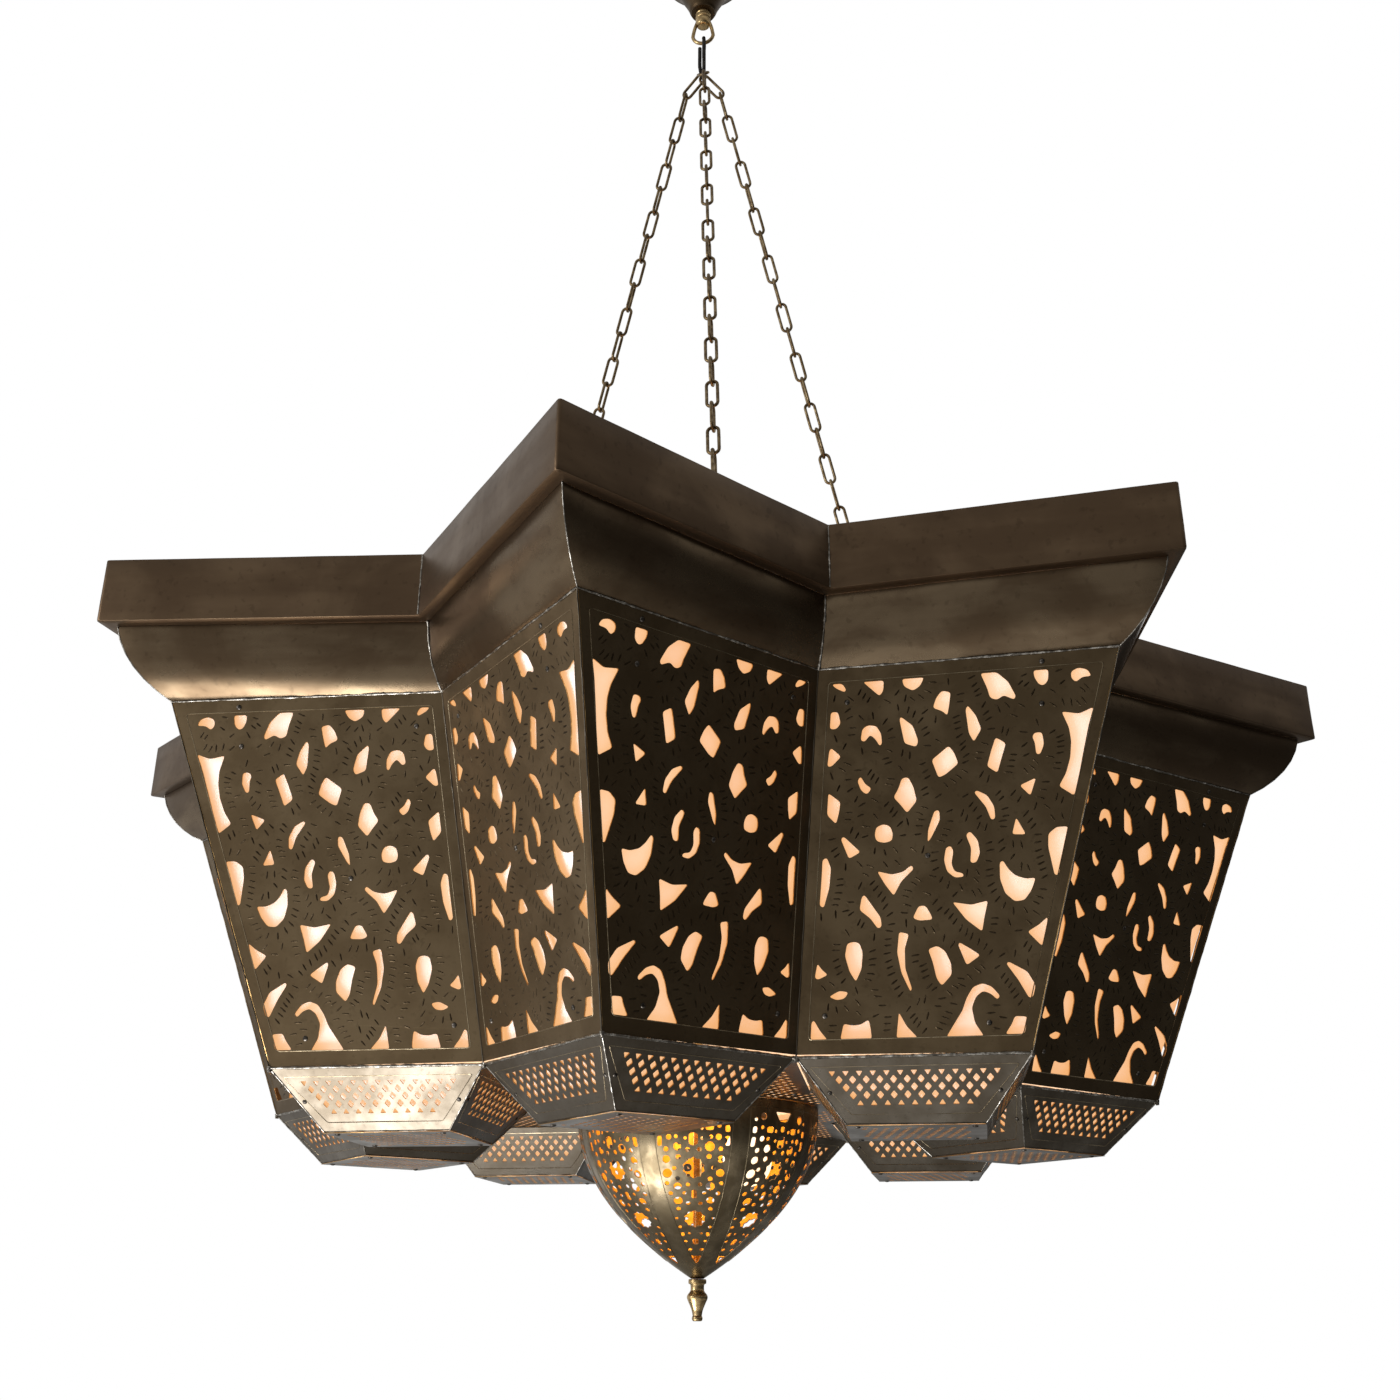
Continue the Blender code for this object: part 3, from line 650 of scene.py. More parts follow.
cove_steps = [cove_section(step / 14) for step in range(15)]
sections = [(*section, 0.0) for section in cove_steps]
sections += [(*section, SHEET) for section in reversed(cove_steps)]
cove = piece(
    "star_moulding",
    star_sweep(sections, "star_moulding", 0.8 * MM, 0.6 * MM, (0.9 * MM, 0.030), along=14),
    "lantern", "dark_brass", cove_brass, stands_for=("cove",),
)
print("moulding:", len(cove.data.polygons), "faces")

# %% [markdown]
# ## Pierced sheet
#
# Each wall panel is flat sheet with nearly fifty openings sawn out of it, no two quite alike. A Boolean
# cut per opening would work and would be slow. Blender fills a flat curve itself, and it leaves every
# inner outline open, so the panel is drawn as a curve: its edge, then the openings. Extruding that
# curve gives the sheet its thickness.
#
# An opening is a short list of corners in millimetres. `softened` turns each corner into a small
# arc, as a saw blade and a file do.

# %% From outlines to sheet
def softened(corners, cut=2.2, steps=4):
    """The outline with every corner turned into a small curve."""
    smooth = []
    count = len(corners)
    for index, here in enumerate(corners):
        here = Vector(here)
        before = Vector(corners[index - 1]) - here
        after = Vector(corners[(index + 1) % count]) - here
        first = here + before.normalized() * min(cut, before.length * 0.46)
        last = here + after.normalized() * min(cut, after.length * 0.46)
        for step in range(steps):
            share = step / (steps - 1)
            smooth.append(first.lerp(here, share).lerp(here.lerp(last, share), share))
    return smooth


def pierced(edge, openings, thickness, name):
    """Flat sheet with openings, drawn in millimetres. Its face is at z = 0, its back below."""
    curve = bpy.data.curves.new(name, "CURVE")
    curve.dimensions = "2D"
    curve.fill_mode = "BOTH"
    curve.extrude = thickness * MM / 2
    for outline in (edge, *openings):
        spline = curve.splines.new("POLY")
        spline.points.add(len(outline) - 1)
        for point, place in zip(spline.points, outline):
            point.co = (place[0] * MM, place[1] * MM, 0.0, 1.0)
        spline.use_cyclic_u = True
    holder = bpy.data.objects.new(name, curve)
    scene.collection.objects.link(holder)
    bpy.context.view_layer.update()
    mesh = bpy.data.meshes.new_from_object(holder.evaluated_get(bpy.context.evaluated_depsgraph_get()))
    bpy.data.objects.remove(holder)
    bpy.data.curves.remove(curve)
    tidy = bmesh.new()
    tidy.from_mesh(mesh)
    bmesh.ops.remove_doubles(tidy, verts=tidy.verts, dist=0.00001)
    bmesh.ops.translate(tidy, vec=(0.0, 0.0, -thickness * MM / 2), verts=tidy.verts)
    bmesh.ops.recalc_face_normals(tidy, faces=tidy.faces)
    for face in tidy.faces:
        face.material_index = 1 if abs(face.normal.z) < 0.5 else 0
    tidy.to_mesh(mesh)
    tidy.free()
    mesh.name = name
    return mesh


def mirrored(mesh, name):
    copy = mesh.copy()
    copy.name = name
    copy.transform(Matrix.Scale(-1.0, 4, (1.0, 0.0, 0.0)))
    copy.flip_normals()
    return copy


# %% [markdown]
# ### The openings of a wall panel
#
# They are given from the panel's upper corner at the arm's tip: across towards the valley, then down
# the sheet. The long one beside the tip, the round one, the hook near the foot and the row of small
# feet along the bottom are what the eye finds again on every panel.

# %% The panel's pattern
panel_openings = [
    [(22, 20.5), (24.5, 15.5), (31, 13.6), (36.4, 16), (36.8, 21), (33.5, 24.4), (29, 20.8)],
    [(52.8, 13.2), (63.8, 13.2), (63.4, 18.5), (60.5, 24), (57, 25), (53.6, 21.5)],
    [(91, 12.4), (102.8, 12.4), (98.6, 24), (97, 31.5), (92, 33.4), (87, 30.2), (79.5, 34), (78, 31.5),
     (83, 20)],
    [(145, 12.2), (161.8, 12.2), (160.5, 18), (154, 21.8), (148.5, 18.5)],
    [(175.6, 12.2), (191.4, 12.2), (184.5, 19), (179.5, 24), (176.4, 20)],
    [(207.5, 12.2), (215.4, 12.2), (212.5, 15.5), (206, 19), (204.6, 17)],
    [(126, 25), (132.5, 23.4), (137, 28.5), (140, 36), (133, 39), (129.6, 42.6), (127.6, 34)],
    [(114, 36), (115.8, 39), (114.6, 57), (111.4, 63.8), (105.2, 54.5), (108.5, 44)],
    [(22.4, 43.8), (33, 48), (45.6, 45.6), (41.2, 58), (40.4, 68), (42, 80), (46, 91.5), (51.8, 100.8),
     (41.4, 108.4), (37, 94), (32, 75), (27, 57)],
    [(61, 60), (66.5, 60), (68.4, 63), (66.8, 67), (66.4, 76), (63.5, 76.2), (60.3, 69)],
    [(180, 60.8), (180.2, 53), (183.5, 46.8), (190, 45.8), (194.2, 48.5), (196, 57), (193, 58.4),
     (188.5, 53.2), (184.6, 57), (182, 62.2)],
    [(212, 34), (217.4, 33.8), (219, 46.8), (214, 47.2), (210.4, 43)],
    [(164.6, 41), (165.6, 43.5), (163, 61.6), (154.4, 64.8), (152.6, 60.5), (156, 48.5)],
    [(211.6, 68.6), (218.6, 61.6), (220.4, 63.5), (222.6, 75.4), (219.5, 75.8)],
    [(88, 66.4), (95.2, 61.6), (99, 71), (103, 82.8), (95.8, 88.2), (91.5, 76)],
    [(130.2, 65.6), (143.6, 75.6), (139.4, 89.2), (134, 87), (124, 79.4), (126.6, 71)],
    [(68, 93.6), (80.2, 98.6), (73, 106.6)],
    [(162, 87.4), (166.8, 88), (170, 96), (174, 102), (169, 108), (164.6, 114.4), (156.8, 105.6),
     (158.6, 95)],
    [(197.8, 84.6), (200.4, 88), (198, 95.5), (193.8, 98.8), (190, 94.2), (194.5, 91)],
    [(112, 100.4), (113.8, 102), (106, 113), (102.8, 123), (99.8, 122), (100, 113), (104.5, 104.5)],
    [(214.2, 103.4), (223, 96), (225, 112.6), (218.6, 119.8), (216, 112)],
    [(140.6, 113.6), (144.2, 114), (149.8, 128), (150.8, 137.2), (148, 134), (140.6, 121)],
    [(178, 123.6), (183, 121.8), (188.4, 124), (190, 130), (188.8, 134.4), (183, 136), (177.2, 134.6),
     (176.2, 129)],
    [(84.6, 122.2), (88.4, 134.4), (78.4, 135)],
    [(47.6, 130.8), (56, 130.8), (62.2, 135.5), (63, 145), (60, 165.8), (57, 165.6), (52, 145)],
    [(119, 130.6), (122.2, 133), (119, 143), (120.4, 154), (116, 154), (112.8, 147), (113.8, 137.5)],
    [(134, 140.6), (137.6, 142), (139.6, 151), (138, 159.5), (132.5, 164.4), (126, 164), (126.4, 161.4),
     (132.4, 160), (134.4, 154), (132.2, 144.5)],
    [(213.4, 129.6), (215.6, 131.5), (210.4, 146.6), (201.4, 142)],
    [(227, 145), (230.4, 146.4), (232, 161), (234.6, 181), (231.6, 182.6), (226.6, 168), (224.4, 153)],
    [(96.6, 153.4), (99, 155), (99.6, 167), (96.6, 177.5), (90, 183.8), (83, 183), (77.5, 176),
     (73.8, 167.2), (81, 167.6), (88.5, 164.8), (93, 160)],
    [(164, 153.6), (170.5, 158.4), (179, 160), (189.8, 157), (184.6, 167), (178.6, 175.8),
     (172.4, 165.4), (162.4, 156.4)],
    [(200.4, 174.2), (202.6, 176), (204.8, 185.4), (197, 192), (192, 199.8), (189, 198.4),
     (189.4, 191.5)],
    [(109.6, 182.4), (122, 185), (135.6, 182.4), (126.5, 195.5), (115.4, 204.8), (113, 194)],
    [(155.5, 184.2), (160.6, 184.2), (165.6, 193), (161, 195), (151.2, 194.6), (151.8, 191.5)],
    [(67.4, 196), (74, 201.4), (82.6, 206.2), (73, 217), (69.4, 207)],
    [(169.2, 204.6), (176.4, 202.8), (178.8, 218), (176.6, 233), (171, 246.8), (169.6, 245),
     (173.6, 230), (173, 215)],
    [(210.6, 208.8), (215.6, 210), (217.8, 219), (215, 231), (210.8, 238.4), (206, 229), (204.4, 217),
     (206.4, 210)],
    [(132.4, 212.2), (133.6, 214), (128.4, 229), (118, 222), (125, 217)],
    [(149, 214), (155.8, 216.4), (153, 226), (151, 238), (147.6, 243.4), (139.8, 235.4), (139.8, 227),
     (143.5, 218)],
    [(98, 227.4), (99.6, 229), (92, 240.5), (85, 254.2), (82, 253), (79.8, 245), (85, 235)],
    [(238.8, 224), (241.4, 234.6), (239, 236), (231.4, 232.6), (235.6, 229)],
    [(216.8, 246), (223.5, 244.8), (231.6, 249), (226, 251.6), (220, 250.6)],
    [(87.4, 267.4), (96.4, 266.8), (98.6, 272), (104, 279.6), (90.2, 279.6)],
    [(105.8, 252), (111.5, 245), (118, 242.4), (125, 245), (130, 252.5), (134, 262), (141, 272),
     (146.8, 280.6), (119.6, 280.6), (125.4, 271), (127, 260), (123.4, 252), (118, 248), (112.6, 250),
     (108, 254.6)],
    [(180.4, 261.8), (183.4, 280.6), (167.8, 280.6), (175.4, 272)],
    [(203, 266.4), (209, 270), (215.5, 270.6), (221.8, 269), (225, 280.6), (201.6, 280.6), (202, 273)],
    [(243.8, 266), (245.8, 267.6), (247.2, 280.6), (234.6, 280.6), (240, 273.5)],
]
panel_screws = [(57, 6.6), (59.5, 38.5), (204.5, 27), (115, 271), (235.5, 263), (151.5, 147)]
print("openings in a wall panel:", len(panel_openings))

# %% [markdown]
# ### Tubes, turned work and small fittings
#
# A few helpers make the rest. A tube follows a path with one thickness or with a changing one:
# links, the hook, raised lines and solder seams are all tubes. Turned work is a profile spun round
# an axis.

# %% Tubes and turned work
def tube(path, radius, sides=8, closed=False, name="tube"):
    """A round bar along a path. `radius` is one number, or one for each point."""
    count = len(path)
    radii = radius if isinstance(radius, (list, tuple)) else [radius] * count
    across = None
    rings = []
    for index, here in enumerate(path):
        before = path[index - 1] if closed or index else here
        after = path[(index + 1) % count] if closed or index < count - 1 else here
        ahead = (after - before).normalized()
        if across is None:
            across = ahead.orthogonal()
        across = (across - ahead * across.dot(ahead)).normalized()
        other = ahead.cross(across)
        rings.append([
            here + (across * cos(2 * pi * side / sides) + other * sin(2 * pi * side / sides)) * radii[index]
            for side in range(sides)
        ])
    if closed:
        return loft(rings, name, smooth_below=60)
    return loft(rings, name, round_and_round=False, smooth_below=60)


def curved(points, steps=6):
    """A smooth line through the points."""
    line = []
    last = len(points) - 1
    for index in range(last):
        first, second = Vector(points[index]), Vector(points[index + 1])
        before = Vector(points[index - 1]) if index else first * 2 - second
        after = Vector(points[index + 2]) if index + 2 <= last else second * 2 - first
        for step in range(steps):
            share = step / steps
            line.append(
                (first * 2 + (second - before) * share
                 + (before * 2 - first * 5 + second * 4 - after) * share ** 2
                 + (first * 3 - before - second * 3 + after) * share ** 3) / 2
            )
    line.append(Vector(points[last]))
    return line


# %% Turned work
def turned(profile, name, segments=64, hollow=False, smooth_below=32):
    """Spins (radius, height) points round the upright axis. A hollow one joins its last to its first."""
    rings = [
        [
            Vector((radius * cos(2 * pi * step / segments), radius * sin(2 * pi * step / segments), height))
            for step in range(segments)
        ]
        for radius, height in profile
    ]
    return loft(rings, name, round_and_round=hollow, smooth_below=smooth_below)


# %% A bead of solder
def seam(start, end, size, rough, seed, step=2.2 * MM, sides=6, wander=0.5):
    """A run of solder: a thin bar that swells, thins and wanders like metal that froze as it flowed."""
    dice = random.Random(seed)
    count = max(int((end - start).length / step), 2)
    ahead = (end - start).normalized()
    aside = ahead.orthogonal().normalized()
    other = ahead.cross(aside)
    path, radii = [], []
    drift = Vector((0.0, 0.0))
    swell = 0.0
    for index in range(count + 1):
        drift = drift * 0.7 + Vector((dice.uniform(-1, 1), dice.uniform(-1, 1))) * size * wander * 0.3
        swell = swell * 0.6 + dice.uniform(-1, 1) * rough * 0.6
        path.append(start.lerp(end, index / count) + aside * drift.x + other * drift.y)
        radii.append(size * max(0.35, 1.0 + swell))
    return tube(path, radii, sides, name="seam")


# %% Screws, and a place for them
screw_profile = [(3.4, -1.2), (3.4, 0.1), (3.1, 0.7), (2.3, 1.2), (1.2, 1.5), (0.5, 1.55)]


def screw_head(size=1.0):
    return turned([(r * size * MM, h * size * MM) for r, h in screw_profile], "screw", 20)


def look(place, x, y, z):
    """A frame from its place and its three axes."""
    frame_of = Matrix((x, y, z)).transposed().to_4x4()
    frame_of.translation = place
    return frame_of


# %% Drawings carried onto packed faces
def rim(node, turn, high=True):
    """The outermost point of a node's top or bottom edge, at a bearing."""
    level_of = edge_points(node, high)[0].z
    return bearing(turn) * reach(node, turn, high) + UP * level_of


def carried(mesh, drawn, corners):
    """Moves a flat drawing onto four corners in space. Both lists go round from the upper left."""
    high_left, high_right, low_right, low_left = [Vector((x * MM, y * MM)) for x, y in drawn]
    slope = high_left.y - low_left.y
    normal = (corners[1] - corners[0]).cross(corners[0] - corners[3]).normalized()
    for vertex in mesh.vertices:
        down = (high_left.y - vertex.co.y) / slope
        left_end = high_left.x + (low_left.x - high_left.x) * down
        right_end = high_right.x + (low_right.x - high_right.x) * down
        across = (vertex.co.x - left_end) / (right_end - left_end)
        high_point = corners[0].lerp(corners[1], across)
        low_point = corners[3].lerp(corners[2], across)
        vertex.co = high_point.lerp(low_point, down) + normal * vertex.co.z
    mesh.update()
    return mesh


def inside(x, y, outline, margin):
    """True where a point lies inside a convex or star outline by more than a margin."""
    crossings = False
    nearest = 1.0e9
    for index, (x1, y1) in enumerate(outline):
        x0, y0 = outline[index - 1]
        if (y0 > y) != (y1 > y) and x < (x1 - x0) * (y - y0) / (y1 - y0) + x0:
            crossings = not crossings
        run, rise = x1 - x0, y1 - y0
        share = max(0.0, min(1.0, ((x - x0) * run + (y - y0) * rise) / (run * run + rise * rise)))
        nearest = min(nearest, hypot(x - x0 - run * share, y - y0 - rise * share))
    return crossings and nearest > margin

# %% [markdown]
# ## Wall panels
#
# All sixteen panels share one drawing, and eight of them are its mirror image. So two meshes serve
# all of them. On the real panels leaves are chased between the openings with short blows of a punch.
# Here each blow is a small raised lens, and the blows stand round every opening in rows, wherever
# one fits. A bump in the finish would be quicker, but it would vanish from the mesh. Each panel also
# has a fine line round its border and six small screws.

# %% A panel's own axes
def panel_axes(arm, side):
    """A panel's own frame: at the arm's tip, X along the top edge, Y up the slope, Z out."""
    turn = 45.0 * arm
    node = f"wall_panel_{arm + 1}{side}"
    valley_turn = turn + (22.5 if side == "a" else -22.5)
    tip, valley = rim(node, turn), rim(node, valley_turn)
    foot = rim(node, turn, False)
    along = (valley - tip).normalized()
    down = foot - tip
    down = (down - along * down.dot(along)).normalized()
    across = along if side == "a" else -along
    return look(tip, across, -down, across.cross(-down)), valley_turn


wall_place, wall_valley = panel_axes(0, "a")
wall_back = wall_place.inverted()
wall_corners = [
    wall_back @ point
    for point in (
        rim("wall_panel_1a", 0.0),
        rim("wall_panel_1a", wall_valley),
        rim("wall_panel_1a", wall_valley, False),
        rim("wall_panel_1a", 0.0, False),
    )
]
wall_edge = [(point.x / MM, point.y / MM) for point in wall_corners]
print("panel corners:", [(round(x, 1), round(y, 1)) for x, y in wall_edge])
wall_slope = -wall_edge[2][1]
print("panel, down its slope:", round(wall_slope, 1), "mm")


# %% The panel's border line
border_depth = 10.6
tip_inset = 9.2
valley_inset = 8.8


def border_point(depth, inset, at_valley):
    """A point of the border line, given in from the panel's tip edge or valley edge."""
    share = depth / wall_slope
    if at_valley:
        return (wall_edge[1][0] + (wall_edge[2][0] - wall_edge[1][0]) * share - inset, -depth)
    return (wall_edge[0][0] + (wall_edge[3][0] - wall_edge[0][0]) * share + inset, -depth)


# %% Chased strokes
# each row round an opening: how far out, how far the strokes lean in degrees, how far apart they stand
stroke_rows = ((7.6, 14.0, 4.6), (16.6, 32.0, 5.0), (23.5, -26.0, 5.2))


def round_steps(outline, gap):
    """Points at even steps round a closed outline, each with its direction of travel."""
    count = len(outline)
    sides = [outline[(index + 1) % count] - outline[index] for index in range(count)]
    length = sum(side.length for side in sides)
    steps = max(3, round(length / gap))
    gone, index = 0.0, 0
    for step in range(steps):
        goal = length * step / steps
        while gone + sides[index].length < goal:
            gone += sides[index].length
            index += 1
        way = sides[index].normalized()
        yield outline[index] + way * (goal - gone), way


def chase_marks(openings, room):
    """Short chased strokes that stand round every opening like rays, where there is room for them."""
    dice = random.Random(5)
    taken = []
    marks = []

    def try_mark(spot, way, half, gap):
        ends = [spot + way * half * share for share in (-1.0, -0.5, 0.0, 0.5, 1.0)]
        if not all(inside(end.x, end.y, room, 2.0) for end in ends):
            return
        if any((end - other).length < gap for other in taken for end in ends):
            return
        if any((end - point).length < 2.2 for other in openings for point in other for end in ends):
            return
        if any(inside(end.x, end.y, other, -1.0) for other in openings for end in ends):
            return
        taken.extend(ends[::2])
        marks.append((spot, way, half))

    for reach_out, lean, gap in stroke_rows:
        for opening in openings:
            middle_of = sum(opening, Vector((0.0, 0.0))) / len(opening)
            for here, run in round_steps(opening, gap):
                out = Vector((run.y, -run.x))
                if out.dot(here - middle_of) < 0:
                    out = -out
                tilt = radians(lean + dice.uniform(-3.0, 3.0))
                way = out * cos(tilt) + run * sin(tilt)
                try_mark(here + out * reach_out, way, dice.uniform(3.6, 4.4), 2.75)
    return marks


mark_outline = ((-1.0, 0.0), (-0.45, 0.85), (0.45, 1.1), (1.0, 0.0), (0.45, -1.1), (-0.45, -0.85))


def mark_mesh(marks):
    """Every stroke as a small lens with a ridge."""
    points, faces_of = [], []
    for spot, way, half in marks:
        side = Vector((-way.y, way.x))
        start = len(points)
        for along, wide in mark_outline:
            place = spot + way * half * along + side * wide
            points.append(Vector((place.x * MM, place.y * MM, -0.15 * MM)))
        for along in (-0.5, 0.5):
            place = spot + way * half * along
            points.append(Vector((place.x * MM, place.y * MM, 0.32 * MM)))
        tail, head = start + 6, start + 7
        faces_of += [
            (start, start + 1, tail), (start + 1, start + 2, head, tail), (start + 2, start + 3, head),
            (start + 3, start + 4, head), (start + 4, start + 5, tail, head), (start + 5, start, tail),
            (start, start + 5, start + 4, start + 3, start + 2, start + 1),
        ]
    return mesh_of(points, faces_of, "chase_marks")


# %% Sixteen panels
def wall_panel_mesh():
    openings = [softened([(u, -v) for u, v in corners]) for corners in panel_openings]
    sheet = pierced(wall_edge, openings, 1.0, "wall_sheet")
    border = [
        border_point(border_depth, tip_inset, False),
        border_point(border_depth, valley_inset, True),
        border_point(wall_slope - border_depth, valley_inset, True),
        border_point(wall_slope - border_depth, tip_inset, False),
    ]
    line = [Vector((x * MM, y * MM, -0.12 * MM)) for x, y in softened(border, 3.0)]
    parts = [(sheet, None, None), (tube(line, 0.42 * MM, 6, closed=True), None, 4)]
    marks = chase_marks(openings, border)
    print("chased strokes in a panel:", len(marks))
    parts.append((mark_mesh(marks), None, 3))
    for u, v in panel_screws:
        parts.append((screw_head(0.62), Matrix.Translation((u * MM, -v * MM, 0.0)), 2))
    return carried(joined(parts, "wall_panel"), wall_edge, wall_corners)


wall_right = wall_panel_mesh()
wall_left = mirrored(wall_right, "wall_panel_mirrored")
for arm in range(ARMS):
    for side, mesh in (("a", wall_right), ("b", wall_left)):
        name = f"panel_{arm + 1}{side}"
        place = panel_axes(arm, side)[0]
        piece(
            name, mesh, "lantern", "panel_brass",
            panel_brass, cut_edge, screw_steel, chased_dark, ridge_brass,
            stands_for=(f"wall_panel_{arm + 1}{side}",), place=place,
        )
print("wall panel:", len(wall_right.polygons), "faces, used", 2 * ARMS, "times")

# %% [markdown]
# ## Hoppers
#
# Under each arm hangs a shallow hopper of four trapezoids, with a lattice of small diamonds. The
# lattice keeps its pitch as a face narrows, so every row down has one diamond fewer. The faces are
# drawn flat, then each point is carried onto the real face by its share of the way down and across.

# %% A hopper's lattice
def diamond(x, y, wide, high, top=True, bottom=True):
    """A small diamond, or its upper or lower half."""
    corners = [(x - wide / 2, y), (x + wide / 2, y)]
    if top:
        corners.insert(1, (x, y + high / 2))
    if bottom:
        corners.append((x, y - high / 2))
    return softened(corners, 0.9, 3)


def lattice_face(corners):
    """One face of a hopper with its lattice, border line and screws."""
    high_left, high_right, low_right, low_left = corners
    high_width = (high_right - high_left).length / MM
    low_width = (low_right - low_left).length / MM
    slant = ((high_left + high_right) / 2 - (low_left + low_right) / 2).length / MM
    edge = [(-high_width / 2, 0), (high_width / 2, 0), (low_width / 2, -slant), (-low_width / 2, -slant)]
    openings = []
    pitch = high_width / 17.05
    rows = (
        (11.6, 13, 5.2, 9.2, False, True),
        (18.9, 12, 5.6, 7.4, True, True),
        (25.3, 11, 5.6, 7.4, True, True),
        (31.7, 10, 5.6, 7.4, True, True),
        (40.2, 9, 5.2, 9.0, True, False),
    )
    for depth, count, wide, high, top, bottom in rows:
        for index in range(count):
            x = (index - (count - 1) / 2) * pitch
            openings.append(diamond(x, -depth, wide, high, top, bottom))
    sheet = pierced(edge, openings, 1.0, "lattice")
    share = 8.0 / slant
    inset = 8.5
    lines = [
        (-high_width / 2 + inset + 5 * share, -8.0),
        (high_width / 2 - inset - 5 * share, -8.0),
        (low_width / 2 - inset + 4, -slant + 8.0),
        (-low_width / 2 + inset - 4, -slant + 8.0),
    ]
    path = [Vector((x * MM, y * MM, -0.12 * MM)) for x, y in softened(lines, 2.0)]
    parts = [(sheet, None, None), (tube(path, 0.36 * MM, 6, closed=True), None, 4)]
    for end in (-1, 1):
        x = end * (high_width / 2 - 0.27 * high_width / 2)
        parts.append((screw_head(0.55), Matrix.Translation((x * MM, -29.5 * MM, 0.0)), 2))
    return carried(joined(parts, "lattice_face"), edge, corners)


# %% Eight hoppers
def hopper_corners(high):
    """The hopper's four corners on the front arm: tip, right, inner, left."""
    node = "hopper_1"
    level_of = edge_points(node, high)[0].z
    inner = min(
        point.xy.length for point in edge_points(node, high)
        if abs(degrees(atan2(point.x, -point.y))) < 0.6
    )
    side = corner(node, (1.0, 0.0, 0.0), high)
    return [
        rim(node, 0.0, high),
        side,
        bearing(0.0) * inner + UP * level_of,
        Vector((-side.x, side.y, side.z)),
    ]


hopper_top, hopper_foot = hopper_corners(True), hopper_corners(False)
faces = []
for index in range(4):
    after = (index + 1) % 4
    faces.append(lattice_face(
        (hopper_top[index], hopper_top[after], hopper_foot[after], hopper_foot[index])
    ))
parts = [(face, None, None) for face in faces]
for index in range(4):
    start, end = hopper_top[index], hopper_foot[index]
    parts.append((seam(start, end, 0.60 * MM, 0.30, 40 + index, wander=0.35), None, 3))
hopper_mesh = joined(parts, "hopper")
for arm in range(ARMS):
    piece(
        f"hopper_shell_{arm + 1}", hopper_mesh, "lantern", "dark_brass",
        hopper_brass, cut_edge, screw_steel, solder, ridge_brass,
        stands_for=(f"hopper_{arm + 1}",), place=Matrix.Rotation(radians(45.0 * arm), 4, "Z"),
    )
print("hopper:", len(hopper_mesh.polygons), "faces")

# %% [markdown]
# ## Bottom plates and base plate
#
# The hoppers' floors and the large plate between them are pierced with rows of the same small
# diamonds. Rows are laid over the whole sheet, and only those diamonds stay that clear its edges.

# %% Flat pierced plates
def rows_of_diamonds(outline, pitch, drop, wide, high, margin, clear=None):
    xs, ys = [x for x, _ in outline], [y for _, y in outline]
    found = []
    rows = int((max(ys) - min(ys)) / drop)
    for row in range(rows + 1):
        y = min(ys) + row * drop
        columns = int((max(xs) - min(xs)) / pitch) + 2
        for column in range(columns):
            x = (column - columns // 2 + (row % 2) / 2) * pitch
            if clear is not None and hypot(x, y) < clear:
                continue
            if inside(x, y, outline, margin):
                found.append(diamond(x, y, wide, high))
    return found


plate_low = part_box("bottom_plate_1")[0].z
plate_corners = [rim("bottom_plate_1", 0.0, False)]
plate_side = corner("bottom_plate_1", (1.0, 0.0, 0.0), False)
plate_inner = corner("bottom_plate_1", (0.0, 1.0, 0.0), False)
plate_corners += [plate_side, plate_inner, Vector((-plate_side.x, plate_side.y, plate_side.z))]
plate_outline = [(point.x / MM, -point.y / MM) for point in plate_corners]
openings = rows_of_diamonds(plate_outline, 10.0, 7.2, 5.6, 6.0, 13.0)
plate_sheet = pierced(plate_outline, openings, 0.4, "bottom_sheet")
parts = [(plate_sheet, None, None)]
centre_y = sum(y for _, y in plate_outline) / 4
for x, y in plate_outline:
    spot = Matrix.Translation((x * 0.84 * MM, (centre_y + (y - centre_y) * 0.84) * MM, 0.0))
    parts.append((screw_head(0.7), spot, 2))
plate_mesh = joined(parts, "bottom_plate")
facing_down = Matrix.Rotation(pi, 4, "X")
for arm in range(ARMS):
    piece(
        f"hopper_floor_{arm + 1}", plate_mesh, "lantern", "dark_brass",
        hopper_brass, cut_edge, screw_steel, stands_for=(f"bottom_plate_{arm + 1}",),
        place=Matrix.Translation((0.0, 0.0, plate_low)) @ Matrix.Rotation(radians(45.0 * arm), 4, "Z")
        @ facing_down,
    )

base_low, base_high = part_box("base_plate")[0].z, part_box("base_plate")[1].z
base_outline = []
for step in range(2 * ARMS):
    point = rim("base_plate", 22.5 * step, False)
    base_outline.append((point.x / MM, -point.y / MM))
opening_radius = min(point.xy.length for point in edge_points("base_plate", False)) / MM
ring = [
    (opening_radius * cos(2 * pi * step / 64), opening_radius * sin(2 * pi * step / 64))
    for step in range(64)
]
openings = rows_of_diamonds(base_outline, 11.0, 8.0, 6.0, 6.6, 11.0, clear=opening_radius + 9.0)
base_sheet = pierced(base_outline, [ring, *openings], 0.4, "base_sheet")
parts = [(base_sheet, None, None)]
outer_screws, inner_screws = 0.272, 0.142
for step in range(2 * ARMS):
    place = bearing(22.5 * step) * (outer_screws if step % 2 else inner_screws)
    parts.append((screw_head(0.7), Matrix.Translation((place.x, -place.y, 0.0)), 2))
base_mesh = joined(parts, "base_plate")
piece(
    "base_sheet", base_mesh, "lantern", "dark_brass", hopper_brass, cut_edge, screw_steel,
    stands_for=("base_plate",), place=Matrix.Translation((0.0, 0.0, base_low)) @ facing_down,
)
print("bottom plate:", len(plate_mesh.polygons), "faces; base plate:", len(base_mesh.polygons), "faces")

